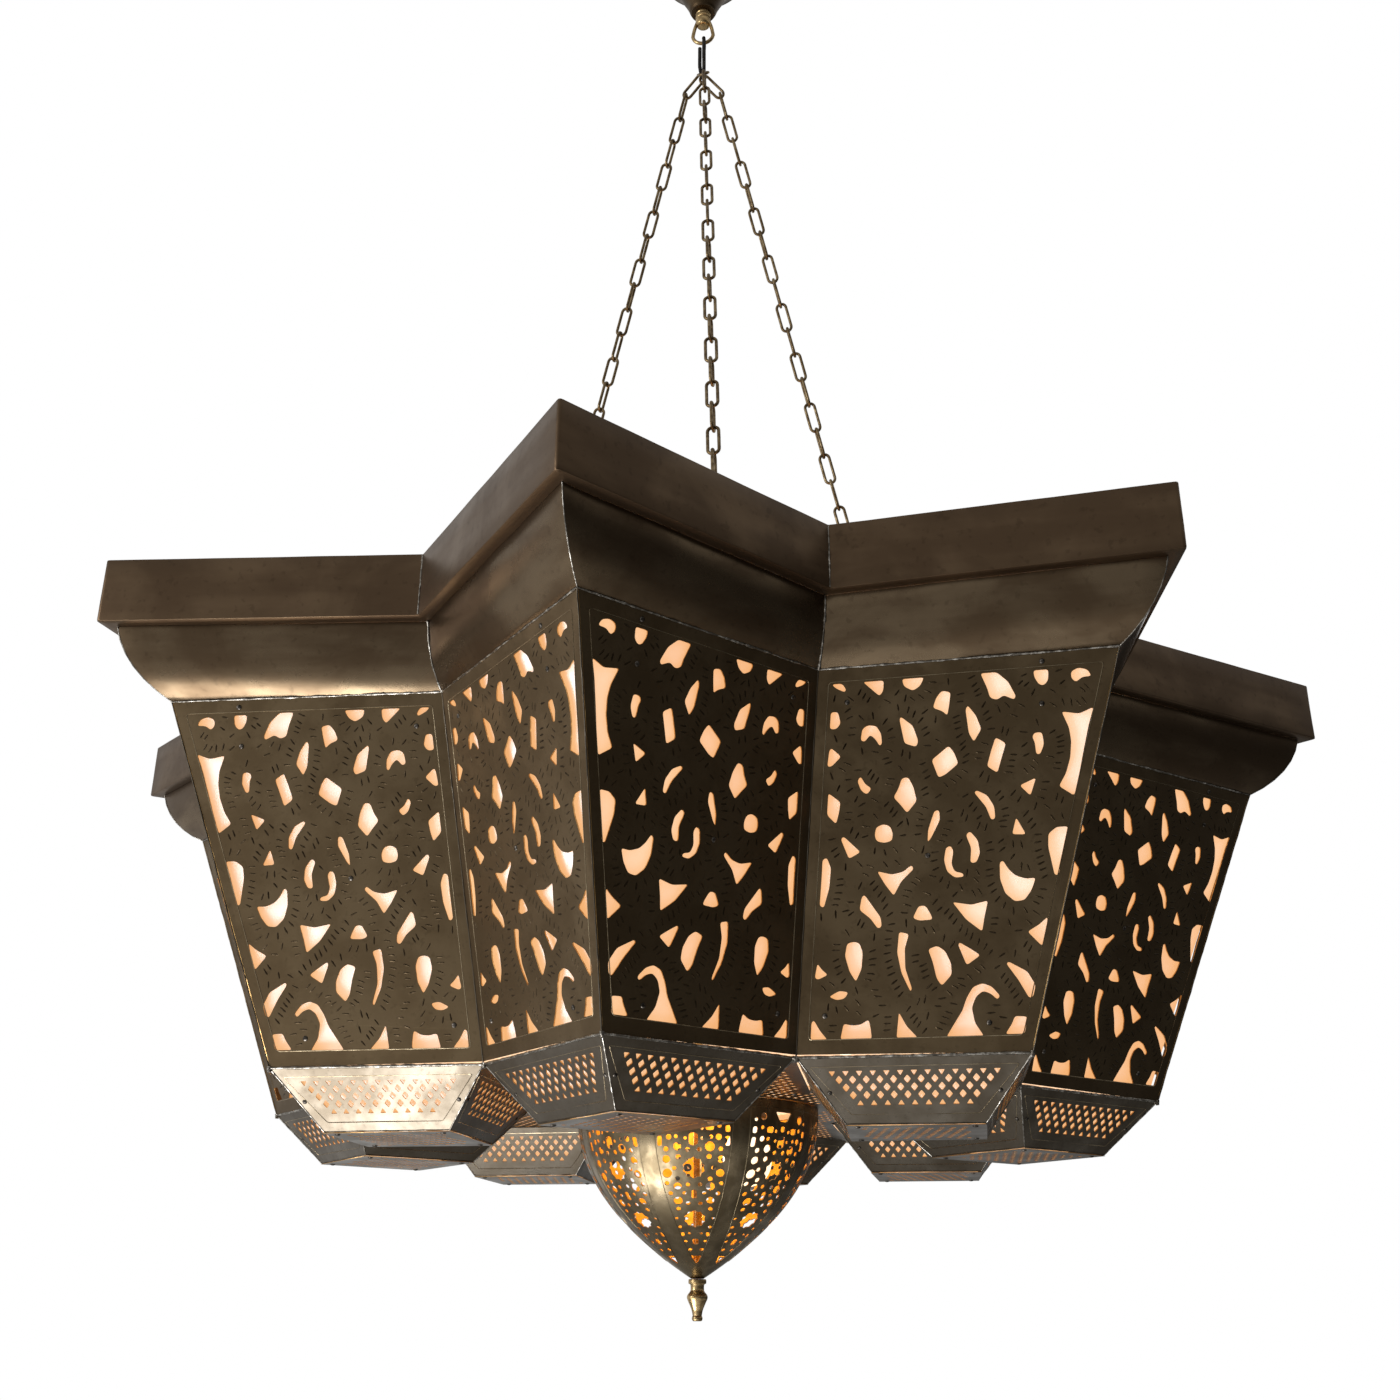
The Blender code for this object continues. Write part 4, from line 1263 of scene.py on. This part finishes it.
# %% [markdown]
# ## Glowing lining
#
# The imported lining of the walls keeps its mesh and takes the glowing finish. The hoppers and the
# base plate get linings of their own, a few millimetres behind the pierced sheet.

# %% Linings
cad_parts["wall_liner"].data.materials.clear()
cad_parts["wall_liner"].data.materials.append(glow_sheet.material)


def shrunk(corners, inset):
    """A level four-cornered ring moved in by a distance on every side."""
    middle_of = sum(corners, Vector()) / len(corners)
    out = []
    for index, here in enumerate(corners):
        before, after = corners[index - 1], corners[(index + 1) % len(corners)]
        back, ahead = (before - here).normalized(), (after - here).normalized()
        way = (back + ahead).normalized()
        if way.dot(middle_of - here) < 0:
            way = -way
        out.append(here + way * inset / max(sin(back.angle(ahead) / 2), 0.2))
    return out


def lining_mesh():
    """A tray of thin sheet: four sides and a floor."""
    outer_top = [point - UP * 1.0 * MM for point in shrunk(hopper_top, 6.0 * MM)]
    outer_foot = [point + UP * 5.0 * MM for point in shrunk(hopper_foot, 3.0 * MM)]
    inner_top = [point - UP * 1.0 * MM for point in shrunk(hopper_top, 6.6 * MM)]
    inner_foot = [point + UP * 5.6 * MM for point in shrunk(hopper_foot, 3.6 * MM)]
    points = outer_top + outer_foot + inner_top + inner_foot
    faces_of = [(4, 5, 6, 7), (12, 13, 14, 15)]
    for index in range(4):
        after = (index + 1) % 4
        faces_of.append((index, after, 4 + after, 4 + index))
        faces_of.append((8 + index, 8 + after, 12 + after, 12 + index))
        faces_of.append((index, after, 8 + after, 8 + index))
    return mesh_of(points, faces_of, "hopper_lining")


tray = lining_mesh()
for arm in range(ARMS):
    piece(
        f"hopper_lining_{arm + 1}", tray, "lantern", "liner_sheet", glow_sheet,
        place=Matrix.Rotation(radians(45.0 * arm), 4, "Z"),
    )
lining_out, lining_in, lining_hole = 292.0, 152.0, 112.0
lining_edge = []
for step in range(2 * ARMS):
    lining_edge.append(tuple(bearing(22.5 * step).xy * (lining_out if step % 2 else lining_in)))
ring = [
    (lining_hole * cos(2 * pi * step / 48), lining_hole * sin(2 * pi * step / 48))
    for step in range(48)
]
base_lining = pierced(lining_edge, [ring], 0.6, "base_lining")
for face in base_lining.polygons:
    face.material_index = 0
piece(
    "base_lining", base_lining, "lantern", "liner_sheet", glow_sheet,
    place=Matrix.Translation((0.0, 0.0, base_high + 5.0 * MM)),
)
print("linings:", ARMS + 1)

# %% [markdown]
# ## The pierced dome
#
# The dome is spun from sheet, then pierced in eight gores with plain bands between them. Holes cut
# into a finished dome by Booleans come out slow and ragged. So one gore is drawn flat, at its true
# widths all the way down. The flat sheet is scored into small cells, and every point is then laid on
# the dome by its distance down the curve and across it. Eight turned copies close the round.

# %% The dome's curve
dome_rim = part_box("dome")[1].z
dome_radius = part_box("dome")[1].x
dome_deep = dome_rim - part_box("dome")[0].z
dome_hole = min(point.xy.length for point in edge_points("dome", False))
dome_power = 2.2
dome_height = dome_deep / (1 - dome_hole / dome_radius) ** (1 / dome_power)
stations = [(0.0, dome_radius, 0.0)]
for step in range(1, 401):
    deep = dome_deep * step / 400
    radius = dome_radius * (1 - (deep / dome_height) ** dome_power)
    length = stations[-1][0] + hypot(deep - stations[-1][2], radius - stations[-1][1])
    stations.append((length, radius, deep))
dome_length = stations[-1][0]


def dome_station(length):
    """The dome's radius and depth after a length down its curve, and the slope there."""
    length = min(max(length, 0.0), dome_length)
    low, high = 0, 400
    while high - low > 1:
        middle_of = (low + high) // 2
        if stations[middle_of][0] <= length:
            low = middle_of
        else:
            high = middle_of
    first, second = stations[low], stations[high]
    share = (length - first[0]) / (second[0] - first[0])
    run, fall = second[1] - first[1], second[2] - first[2]
    size = hypot(run, fall)
    return first[1] + run * share, first[2] + fall * share, run / size, fall / size


def on_dome(x, length, lift=0.0):
    """A point of the front gore: sideways from its middle line, and down the curve from the rim."""
    radius, deep, run, fall = dome_station(length)
    turn = x / radius
    out = radius + lift * fall
    return Vector((sin(turn) * out, -cos(turn) * out, dome_rim - deep + lift * run))


print("dome:", round(dome_length / MM, 1), "mm down its curve")


# %% [markdown]
# ### The gore's pattern
#
# Two ten-petalled rosettes stand one above the other, each ringed by holes and dots. Every hole has
# a twin across the middle line, so the list holds one of each pair.

# %% The gore's pattern
dots = [
    (30.0, 18.5, 1.7), (22.4, 16.0, 3.6), (22.6, 25.2, 1.8), (7.6, 27.6, 1.6), (15.2, 34.6, 1.7),
    (21.8, 34.6, 2.6), (7.2, 35.8, 1.5), (14.2, 43.0, 4.1), (24.0, 45.2, 2.2), (5.2, 45.6, 2.1),
    (24.0, 53.9, 4.2), (13.5, 51.8, 2.3), (17.2, 61.8, 1.9), (23.2, 66.4, 4.3), (13.9, 71.7, 2.4),
    (23.6, 75.8, 2.1), (14.1, 79.0, 4.2), (5.4, 77.2, 2.0), (20.6, 85.5, 2.1), (8.6, 85.2, 1.8),
    (14.2, 92.9, 4.2), (5.2, 95.8, 2.0), (13.8, 101.6, 2.2), (16.2, 111.4, 1.4), (13.0, 121.6, 1.7),
    (5.2, 129.1, 1.3), (8.7, 138.6, 1.6), (5.2, 149.0, 1.8),
]
slots = [
    (30.2, 27.6, 2.2, 2.8), (30.0, 38.0, 2.2, 4.2), (14.2, 26.6, 3.6, 2.6), (11.0, 130.2, 1.5, 2.5),
]
middle_holes = [(0.0, 25.4, 2.4, 2.4), (0.0, 36.7, 4.0, 5.4), (0.0, 86.6, 2.3, 4.3), (0.0, 138.8, 2.5, 3.6)]


def round_hole(x, y, radius, corners=12):
    return [
        (x + radius * sin(2 * pi * step / corners), y + radius * cos(2 * pi * step / corners))
        for step in range(corners)
    ]


def slot_hole(x, y, wide, high):
    box_of = [(x - wide, y - high), (x + wide, y - high), (x + wide, y + high), (x - wide, y + high)]
    return softened(box_of, min(wide, high) * 0.8, 4)


def rosette(x, y, radius):
    points = []
    for step in range(20):
        size = radius if step % 2 == 0 else radius * 0.80
        points.append((x + size * sin(pi * step / 10), y + size * cos(pi * step / 10)))
    return softened(points, 1.3, 3)


dice = random.Random(12)
gore_openings = [
    softened([(-9.6, 11.0), (9.6, 11.0), (4.4, 19.0), (-4.4, 19.0)], 1.6),
    rosette(0.0, 61.8, 10.3),
    rosette(0.0, 112.4, 10.0),
    softened([(-4.7, 157.0), (4.7, 157.0), (0.6, 167.5), (-0.6, 167.5)], 0.8),
]
for x, y, radius in dots:
    for side in (-1, 1):
        nudge = dice.uniform(-0.25, 0.25)
        size = radius * dice.uniform(0.94, 1.08)
        corners = dice.choice((5, 6, 12)) if radius > 3 else 12
        hole = round_hole(side * x + nudge, y + nudge, size, corners)
        gore_openings.append(softened(hole, size * 0.45, 3) if corners < 12 else hole)
for x, y, wide, high in slots:
    gore_openings += [slot_hole(side * x, y, wide, high) for side in (-1, 1)]
for x, y, wide, high in middle_holes:
    gore_openings.append(slot_hole(x, y, wide, high))
print("openings in a gore:", len(gore_openings))


# %% The dome
def gore_edge(length, inset=0.0):
    """Half the gore's width after a length down the curve."""
    return dome_station(length * MM)[0] / MM * pi / ARMS - inset


down_stops = [dome_length / MM * step / 60 for step in range(61)]
edge = [(-gore_edge(stop), stop) for stop in down_stops]
edge += [(gore_edge(stop), stop) for stop in reversed(down_stops)]
gore = pierced(edge, gore_openings, 1.0, "gore")
cell = 4
scored = bmesh.new()
scored.from_mesh(gore)
for stop in range(-10 * cell, 10 * cell + 1, cell):
    everything = scored.verts[:] + scored.edges[:] + scored.faces[:]
    bmesh.ops.bisect_plane(
        scored, geom=everything, dist=1.0e-6, plane_co=(stop * MM, 0, 0), plane_no=(1, 0, 0)
    )
for stop in range(cell, int(dome_length / MM), cell):
    everything = scored.verts[:] + scored.edges[:] + scored.faces[:]
    bmesh.ops.bisect_plane(
        scored, geom=everything, dist=1.0e-6, plane_co=(0, stop * MM, 0), plane_no=(0, 1, 0)
    )
# the sheet's back faces become the dome's inside, which takes the painted lamplight finish
for face in scored.faces:
    if face.material_index == 0 and face.normal.z < 0:
        face.material_index = 2
for vertex in scored.verts:
    vertex.co = on_dome(vertex.co.x, vertex.co.y, vertex.co.z)
for face in scored.faces:
    face.smooth = face.material_index != 1
scored.to_mesh(gore)
scored.free()

first_gore_turn = 7.0
line_thick = 0.45 * MM
parts = []
for arm in range(ARMS):
    turn = Matrix.Rotation(radians(first_gore_turn + 45.0 * arm), 4, "Z")
    parts.append((gore, turn, None))
    for side in (-1, 1):
        line = [
            on_dome(side * gore_edge(stop, 7.9) * MM, stop * MM, -0.1 * MM)
            for stop in range(8, 166, 5)
        ]
        parts.append((tube(line, line_thick, 6), turn, 3))
line_radius, line_deep = dome_station(7.5 * MM)[:2]
rim_line = [bearing(step * 3.75) * (line_radius - 0.1 * MM) for step in range(96)]
rim_line = [point + UP * (dome_rim - line_deep) for point in rim_line]
parts.append((tube(rim_line, line_thick, 6, closed=True), None, 3))
dome_mesh = joined(parts, "dome_shell")
closed = bmesh.new()
closed.from_mesh(dome_mesh)
bmesh.ops.remove_doubles(closed, verts=closed.verts, dist=0.00002)
bmesh.ops.recalc_face_normals(closed, faces=closed.faces)
closed.to_mesh(dome_mesh)
closed.free()
piece(
    "dome_shell", dome_mesh, "dome", "dome_brass", dome_brass, cut_edge, dome_inside_painted_lamplight, dome_brass,
    stands_for=("dome",),
)
print("dome:", len(dome_mesh.polygons), "faces")

# %% [markdown]
# ## Turned work
#
# The finial, the canopy, the collar and the rod are turned or spun. Their profiles are smooth lines
# through a few measured points, with sharp steps where a tool cut them.

# %% Finial, canopy and rod
def lathe(profile, name, steps=5, segments=64):
    return turned([tuple(point) for point in curved(profile, steps)], name, segments)


finial_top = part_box("finial")[1].z
finial_deep = finial_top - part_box("finial")[0].z
finial_profile = [
    (2.0, 35.0), (3.6, 34.9), (4.5, 34.0), (4.8, 32.6), (4.5, 31.2), (4.1, 30.4), (4.3, 29.4),
    (5.0, 26.0), (6.6, 22.0), (8.2, 18.6), (9.2, 16.2), (9.3, 14.6), (8.6, 12.8), (7.2, 11.2),
    (6.3, 9.8), (6.0, 8.0), (6.1, 5.6), (6.5, 4.4), (7.8, 3.8), (8.1, 2.6), (8.0, 0.8), (7.6, 0.0),
]
stretch = finial_deep / MM / 35.0
finial_line = [(radius * MM, finial_top - deep * stretch * MM) for radius, deep in finial_profile]
piece(
    "finial_turned", lathe(finial_line, "finial_turned", 4, 72), "finial", "bright_brass",
    turned_brass, stands_for=("finial",),
)

canopy_low, canopy_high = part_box("canopy")[0].z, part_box("canopy")[1].z
canopy_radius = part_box("canopy")[1].x
canopy_line = [
    (15.0, 70.0), (15.4, 68.6), (17.0, 66.0), (19.4, 59.0), (23.2, 50.5), (28.4, 40.0), (34.8, 27.2),
    (41.0, 18.0), (47.0, 11.0), (51.6, 7.0), (54.0, 5.2), (54.9, 3.4), (55.0, 0.5),
]
outside = [Vector((radius * MM, -deep * MM)) for radius, deep in canopy_line]
outside = curved([(point.x * canopy_radius / 0.055, point.y) for point in outside], 4)
inside_line = [(point.x - SHEET, min(point.y + SHEET, canopy_high)) for point in reversed(outside)]
neck = [(0.0056, canopy_low + SHEET), (0.0056, canopy_low)]
canopy_mesh = turned([tuple(point) for point in outside] + inside_line + neck, "canopy_bell", 96, True)
piece("canopy_bell", canopy_mesh, "ceiling_mount", "dark_iron", canopy_brown, stands_for=("canopy",))

rod_low, rod_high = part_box("centre_rod")[0].z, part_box("centre_rod")[1].z
rod_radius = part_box("centre_rod")[1].x
rod_line = [
    (rod_radius * 0.8, rod_low),
    (rod_radius, rod_low + 0.8 * MM),
    (rod_radius, (rod_low + rod_high) / 2),
    (rod_radius, rod_high - 0.8 * MM),
    (rod_radius * 0.8, rod_high),
]
piece(
    "rod", turned(rod_line, "rod", 32), "lantern", "bright_brass", turned_brass,
    stands_for=("centre_rod",),
)
print("turned pieces:", 3)

# %% [markdown]
# ## Loop, hook and chains
#
# A forged loop hangs under the canopy. An open hook hangs in it, its two ends side by side, and the
# first link of each chain hangs in the hook. Each link is a bar bent to a stadium and closed. Every
# second link is turned a quarter round, with a few degrees of its own, as in any real chain. One
# Array modifier would repeat them exactly, and the eye would see that at once.

# %% Loop and hook
loop_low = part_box("loop")[0].z
loop_wire = 2.25 * MM
ring_radius = 12.75 * MM
ring_middle = loop_low + loop_wire + ring_radius
collar_low = ring_middle + 14.5 * MM
collar = [
    (4.6, 0.0), (6.6, 0.6), (8.2, 2.0), (9.0, 4.4), (9.3, 7.0), (9.4, 9.4), (8.8, 10.2), (8.4, 11.0),
    (8.8, 11.9), (9.5, 12.6), (9.5, 15.4), (8.9, 16.2), (8.5, 17.0), (8.8, 18.0), (9.4, 19.0), (9.5, 21.0),
]
collar_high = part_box("loop")[1].z
scale = (collar_high - collar_low) / (21.0 * MM)
collar_line = [(radius * MM, collar_low + height_of * scale * MM) for radius, height_of in collar]
ring_path = [Vector((-7.0 * MM, 0, collar_low + 9 * MM)), Vector((-10.6 * MM, 0, ring_middle + 12 * MM))]
for step in range(17):
    turn = pi + pi * step / 16
    ring_path.append(Vector((ring_radius * cos(turn), 0, ring_middle + ring_radius * sin(turn))))
ring_path += [Vector((10.6 * MM, 0, ring_middle + 12 * MM)), Vector((7.0 * MM, 0, collar_low + 9 * MM))]
loop_mesh = joined(
    [(lathe(collar_line, "collar", 3, 56), None, 0), (tube(curved(ring_path, 3), loop_wire, 16), None, 0)],
    "hanging_loop",
)
piece("hanging_loop", loop_mesh, "loop", "bright_brass", turned_brass, stands_for=("loop",))

hook_low, hook_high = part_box("hook")[0].z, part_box("hook")[1].z
hook_wire = 2.3 * MM
bend = 8.5 * MM
low_middle = hook_low + hook_wire + bend
high_middle = hook_high - hook_wire - bend
lift = 1.1 * hook_wire
halfway = (low_middle + high_middle) / 2
hook_path = [Vector((lift, -bend, halfway - 8 * MM)), Vector((lift, -bend, halfway))]
for step in range(17):
    turn = pi - pi * step / 16
    x = lift * (1 - step / 16)
    hook_path.append(Vector((x, bend * cos(turn), high_middle + bend * sin(turn))))
for step in range(17):
    turn = -pi * step / 16
    x = -lift * step / 16
    hook_path.append(Vector((x, bend * cos(turn), low_middle + bend * sin(turn))))
hook_path += [Vector((-lift, -bend, halfway)), Vector((-lift, -bend, halfway + 8 * MM))]
piece(
    "open_hook", tube(curved(hook_path, 2), hook_wire, 16, name="open_hook"), "hook", "dark_iron",
    black_iron, stands_for=("hook",),
)
print("hook:", round((hook_high - hook_low) / MM, 1), "mm tall")


# %% Chains
link_wire = 1.7 * MM
link_long = 39.9 * MM
link_wide = 14.6 * MM


def link_mesh():
    """A closed stadium of round bar, long along Z and flat in XZ."""
    bend_radius = link_wide / 2 - link_wire
    straight = link_long / 2 - link_wire - bend_radius
    path = []
    for end in (1, -1):
        for step in range(11):
            turn = pi * step / 10 if end > 0 else pi + pi * step / 10
            path.append(Vector((bend_radius * cos(turn), 0, end * straight + bend_radius * sin(turn))))
    return tube(path, link_wire, 12, closed=True, name="link")


one_link = link_mesh()
lug_radius, lug_height = 0.2568, -1.0305
first_stop = hook_low + hook_wire
chain_turns = (12.5, 125.0, -112.5)
threads = (-4.2 * MM, 4.2 * MM, 0.0)
for number, (turn, thread) in enumerate(zip(chain_turns, threads), 1):
    dice = random.Random(200 + number)
    out = bearing(turn)
    stops = [Vector((0.0, thread, first_stop)), out * 0.0242 + UP * -0.1923]
    lug = out * lug_radius + UP * lug_height
    for step in range(1, 27):
        stops.append(stops[1].lerp(lug, step / 26))
    parts = []
    for index, (high, low) in enumerate(zip(stops, stops[1:])):
        along = (high - low).normalized()
        flat = Vector((0.0, 1.0, 0.0))
        flat = (flat - along * flat.dot(along)).normalized()
        twist = radians(90.0 * (index % 2) + dice.uniform(-9.0, 9.0) * min(1.0, index / 3))
        spin = Matrix.Rotation(twist, 4, "Z")
        place = look((high + low) / 2, flat.cross(along), flat, along)
        parts.append((one_link, place @ spin, 0))
    piece(
        f"chain_links_{number}", joined(parts, f"chain_links_{number}"), "lantern", "chain_brass",
        wire_brass, stands_for=(f"chain_{number}",),
    )
print("chains: 3 of", len(stops) - 1, "links")

# %% [markdown]
# ## Lamps
#
# The bulbs and their holders are mostly hidden, but they can be seen through the dome and from above.
# They are turned like the finial. A bulb's frosted glass glows by itself, and two small point lights near
# the middle, one above the other, warm the metal round them.

# %% Lamps
def bulb_line(size):
    line = [
        (5.0, 0.0), (12.4, 2.4), (13.0, 4.0), (12.4, 6.0), (13.0, 8.0), (12.4, 10.0), (13.0, 12.0),
        (12.4, 14.0), (13.0, 16.0), (12.6, 20.0), (13.0, 26.0),
    ]
    glass_line = [(14.2, 33.0), (19.0, 44.0), (25.0, 56.0), (29.0, 66.0), (30.0, 76.0), (28.0, 88.0)]
    glass_line += [(22.0, 98.5), (13.0, 105.0), (4.0, 107.8)]
    line += [(radius * size, 36.0 + (deep - 36.0) * size) for radius, deep in glass_line]
    return line


def hang(name, node, profile, body, slot, *finishes, share=None):
    """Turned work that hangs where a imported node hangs."""
    low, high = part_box(node)
    place = Matrix.Translation(((low.x + high.x) / 2, (low.y + high.y) / 2, high.z))
    line = [(radius * MM, -deep * MM) for radius, deep in reversed(profile)]
    mesh = turned([tuple(point) for point in curved(line, 3)], name, 40)
    if share is not None:
        for face in mesh.polygons:
            face.material_index = 1 if face.center.z > -share * MM else 0
    return piece(name, mesh, body, slot, *finishes, stands_for=(node,), place=place)


holder_line = [
    (9.0, 0.0), (12.2, 0.4), (15.6, 2.6), (17.2, 6.0), (18.2, 12.0), (19.4, 19.0), (19.5, 22.0),
    (19.1, 30.0), (19.5, 38.0), (19.1, 44.0), (19.5, 49.0), (19.3, 52.0), (17.6, 52.0),
]
for number in range(1, 5):
    hang(
        f"lamp_{number}", f"bulb_{number}", bulb_line(1.0), "lantern", "frosted_glass",
        glass, turned_brass, share=28.0,
    )
    hang(f"holder_{number}", f"lampholder_{number}", holder_line, "lantern", "black_plastic", bakelite)
dome_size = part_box("dome_bulb")[1].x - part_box("dome_bulb")[0].x
hang(
    "dome_lamp", "dome_bulb", bulb_line(dome_size / 0.060), "lantern", "frosted_glass",
    glass, turned_brass, share=28.0,
)
hang("dome_holder", "dome_lampholder", holder_line, "lantern", "black_plastic", bakelite)


def point_light(place, power, size):
    lamp = bpy.data.objects.new("glow", bpy.data.lights.new("glow", "POINT"))
    lamp.data.energy = power
    lamp.data.color = (1.0, 0.62, 0.28)
    lamp.data.shadow_soft_size = size
    lamp.location = place
    scene.collection.objects.link(lamp)


point_light((0.0, 0.03, dome_rim - 0.02), 0.35, 0.03)
point_light((0.0, 0.012, dome_rim - 0.09), 0.10, 0.006)
print("lamps:", 5)

# %% [markdown]
# ## Small ironwork
#
# The frame on top, the bracket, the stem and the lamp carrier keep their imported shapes, which are
# already plain bar and sheet. They only get their finishes.

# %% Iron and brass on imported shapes
packed_finishes = (
    ("top_frame", black_iron),
    ("ceiling_bracket", black_iron),
    ("canopy_stem", black_iron),
    ("lamp_carrier", black_iron),
    ("dome_lamp_arm", turned_brass),
)
for node, finish in packed_finishes:
    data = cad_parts[node].data
    data.materials.clear()
    data.materials.append(finish.material)
print("packed shapes with a finish:", [node for node, finish in packed_finishes])

# %% [markdown]
# ## Solder
#
# Where sheets meet, solder ran along the joint and froze in beads. These seams catch the light and
# give each fold its bright, broken edge.

# %% Solder seams
seams = []
for step in range(2 * ARMS):
    turn = 22.5 * step
    valley = step % 2 == 1
    low_here = rim("cove", turn, False) - UP * 0.3 * MM
    low_after = rim("cove", turn + 22.5, False) - UP * 0.3 * MM
    seams.append((seam(low_here, low_after, 0.85 * MM, 0.55, 300 + step, wander=0.5), None, 0))
    arm = step // 2
    if valley:
        points = [
            bearing(turn) * (cove_section(share / 6)[1] + 0.2 * MM) + UP * cove_section(share / 6)[2]
            for share in range(7)
        ]
        for index in range(6):
            size = 1.25 * MM if index in (0, 5) else 0.95 * MM
            bit = seam(points[index], points[index + 1], size, 0.6, 400 + 10 * step + index)
            seams.append((bit, None, 0))
        band_seam = bearing(turn) * (band_valley + 0.1 * MM)
        seam_top = band_seam + UP * (band_top - MM)
        seam_foot = band_seam + UP * (band_bottom + MM)
        seams.append((seam(seam_top, seam_foot, 0.7 * MM, 0.5, 500 + step), None, 0))
    else:
        points = [
            bearing(turn) * (cove_section(share / 6)[0] - 0.1 * MM) + UP * cove_section(share / 6)[2]
            for share in range(7)
        ]
        seams.append((tube(points, 0.55 * MM, 6), None, 0))
    node = f"wall_panel_{arm + 1}a"
    top_point, foot_point = rim(node, turn), rim(node, turn, False)
    seams.append((seam(top_point, foot_point, 0.65 * MM, 0.35, 600 + step, step=4 * MM), None, 1))
piece(
    "solder_seams", joined(seams, "solder_seams"), "lantern", "bright_brass", solder, hopper_brass
)

hopper_seams = []
for index in range(4):
    after = (index + 1) % 4
    start, end = hopper_top[index] + UP * 0.4 * MM, hopper_top[after] + UP * 0.4 * MM
    if index in (0, 3):
        start, end = start + start.normalized() * 0.3 * MM, end + end.normalized() * 0.3 * MM
        hopper_seams.append((seam(start, end, 1.15 * MM, 0.32, 700 + index, wander=0.35), None, 0))
    else:
        hopper_seams.append((seam(start, end, 0.5 * MM, 0.3, 700 + index), None, 1))
    blob = seam(start + UP * 1.2 * MM, start - UP * 3.0 * MM, 1.9 * MM, 0.3, 720 + index, step=1.1 * MM)
    hopper_seams.append((blob, None, 0))
for index in range(4):
    start, end = hopper_foot[index], hopper_foot[(index + 1) % 4]
    hopper_seams.append((seam(start, end, 0.55 * MM, 0.2, 740 + index, step=4 * MM), None, 1))
hopper_seam_mesh = joined(hopper_seams, "hopper_solder")
for arm in range(ARMS):
    piece(
        f"hopper_solder_{arm + 1}", hopper_seam_mesh, "lantern", "bright_brass", solder, hopper_brass,
        place=Matrix.Rotation(radians(45.0 * arm), 4, "Z"),
    )
print("solder seams:", len(seams) + ARMS * len(hopper_seams))

# %% The sizes at the end
low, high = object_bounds()
sizes = {
    "frame": [list(cad_low), list(cad_high)],
    "with_looks": [list(low), list(high)],
}
print("pieces:", len(made_pieces), "size", [round(side, 4) for side in high - low])
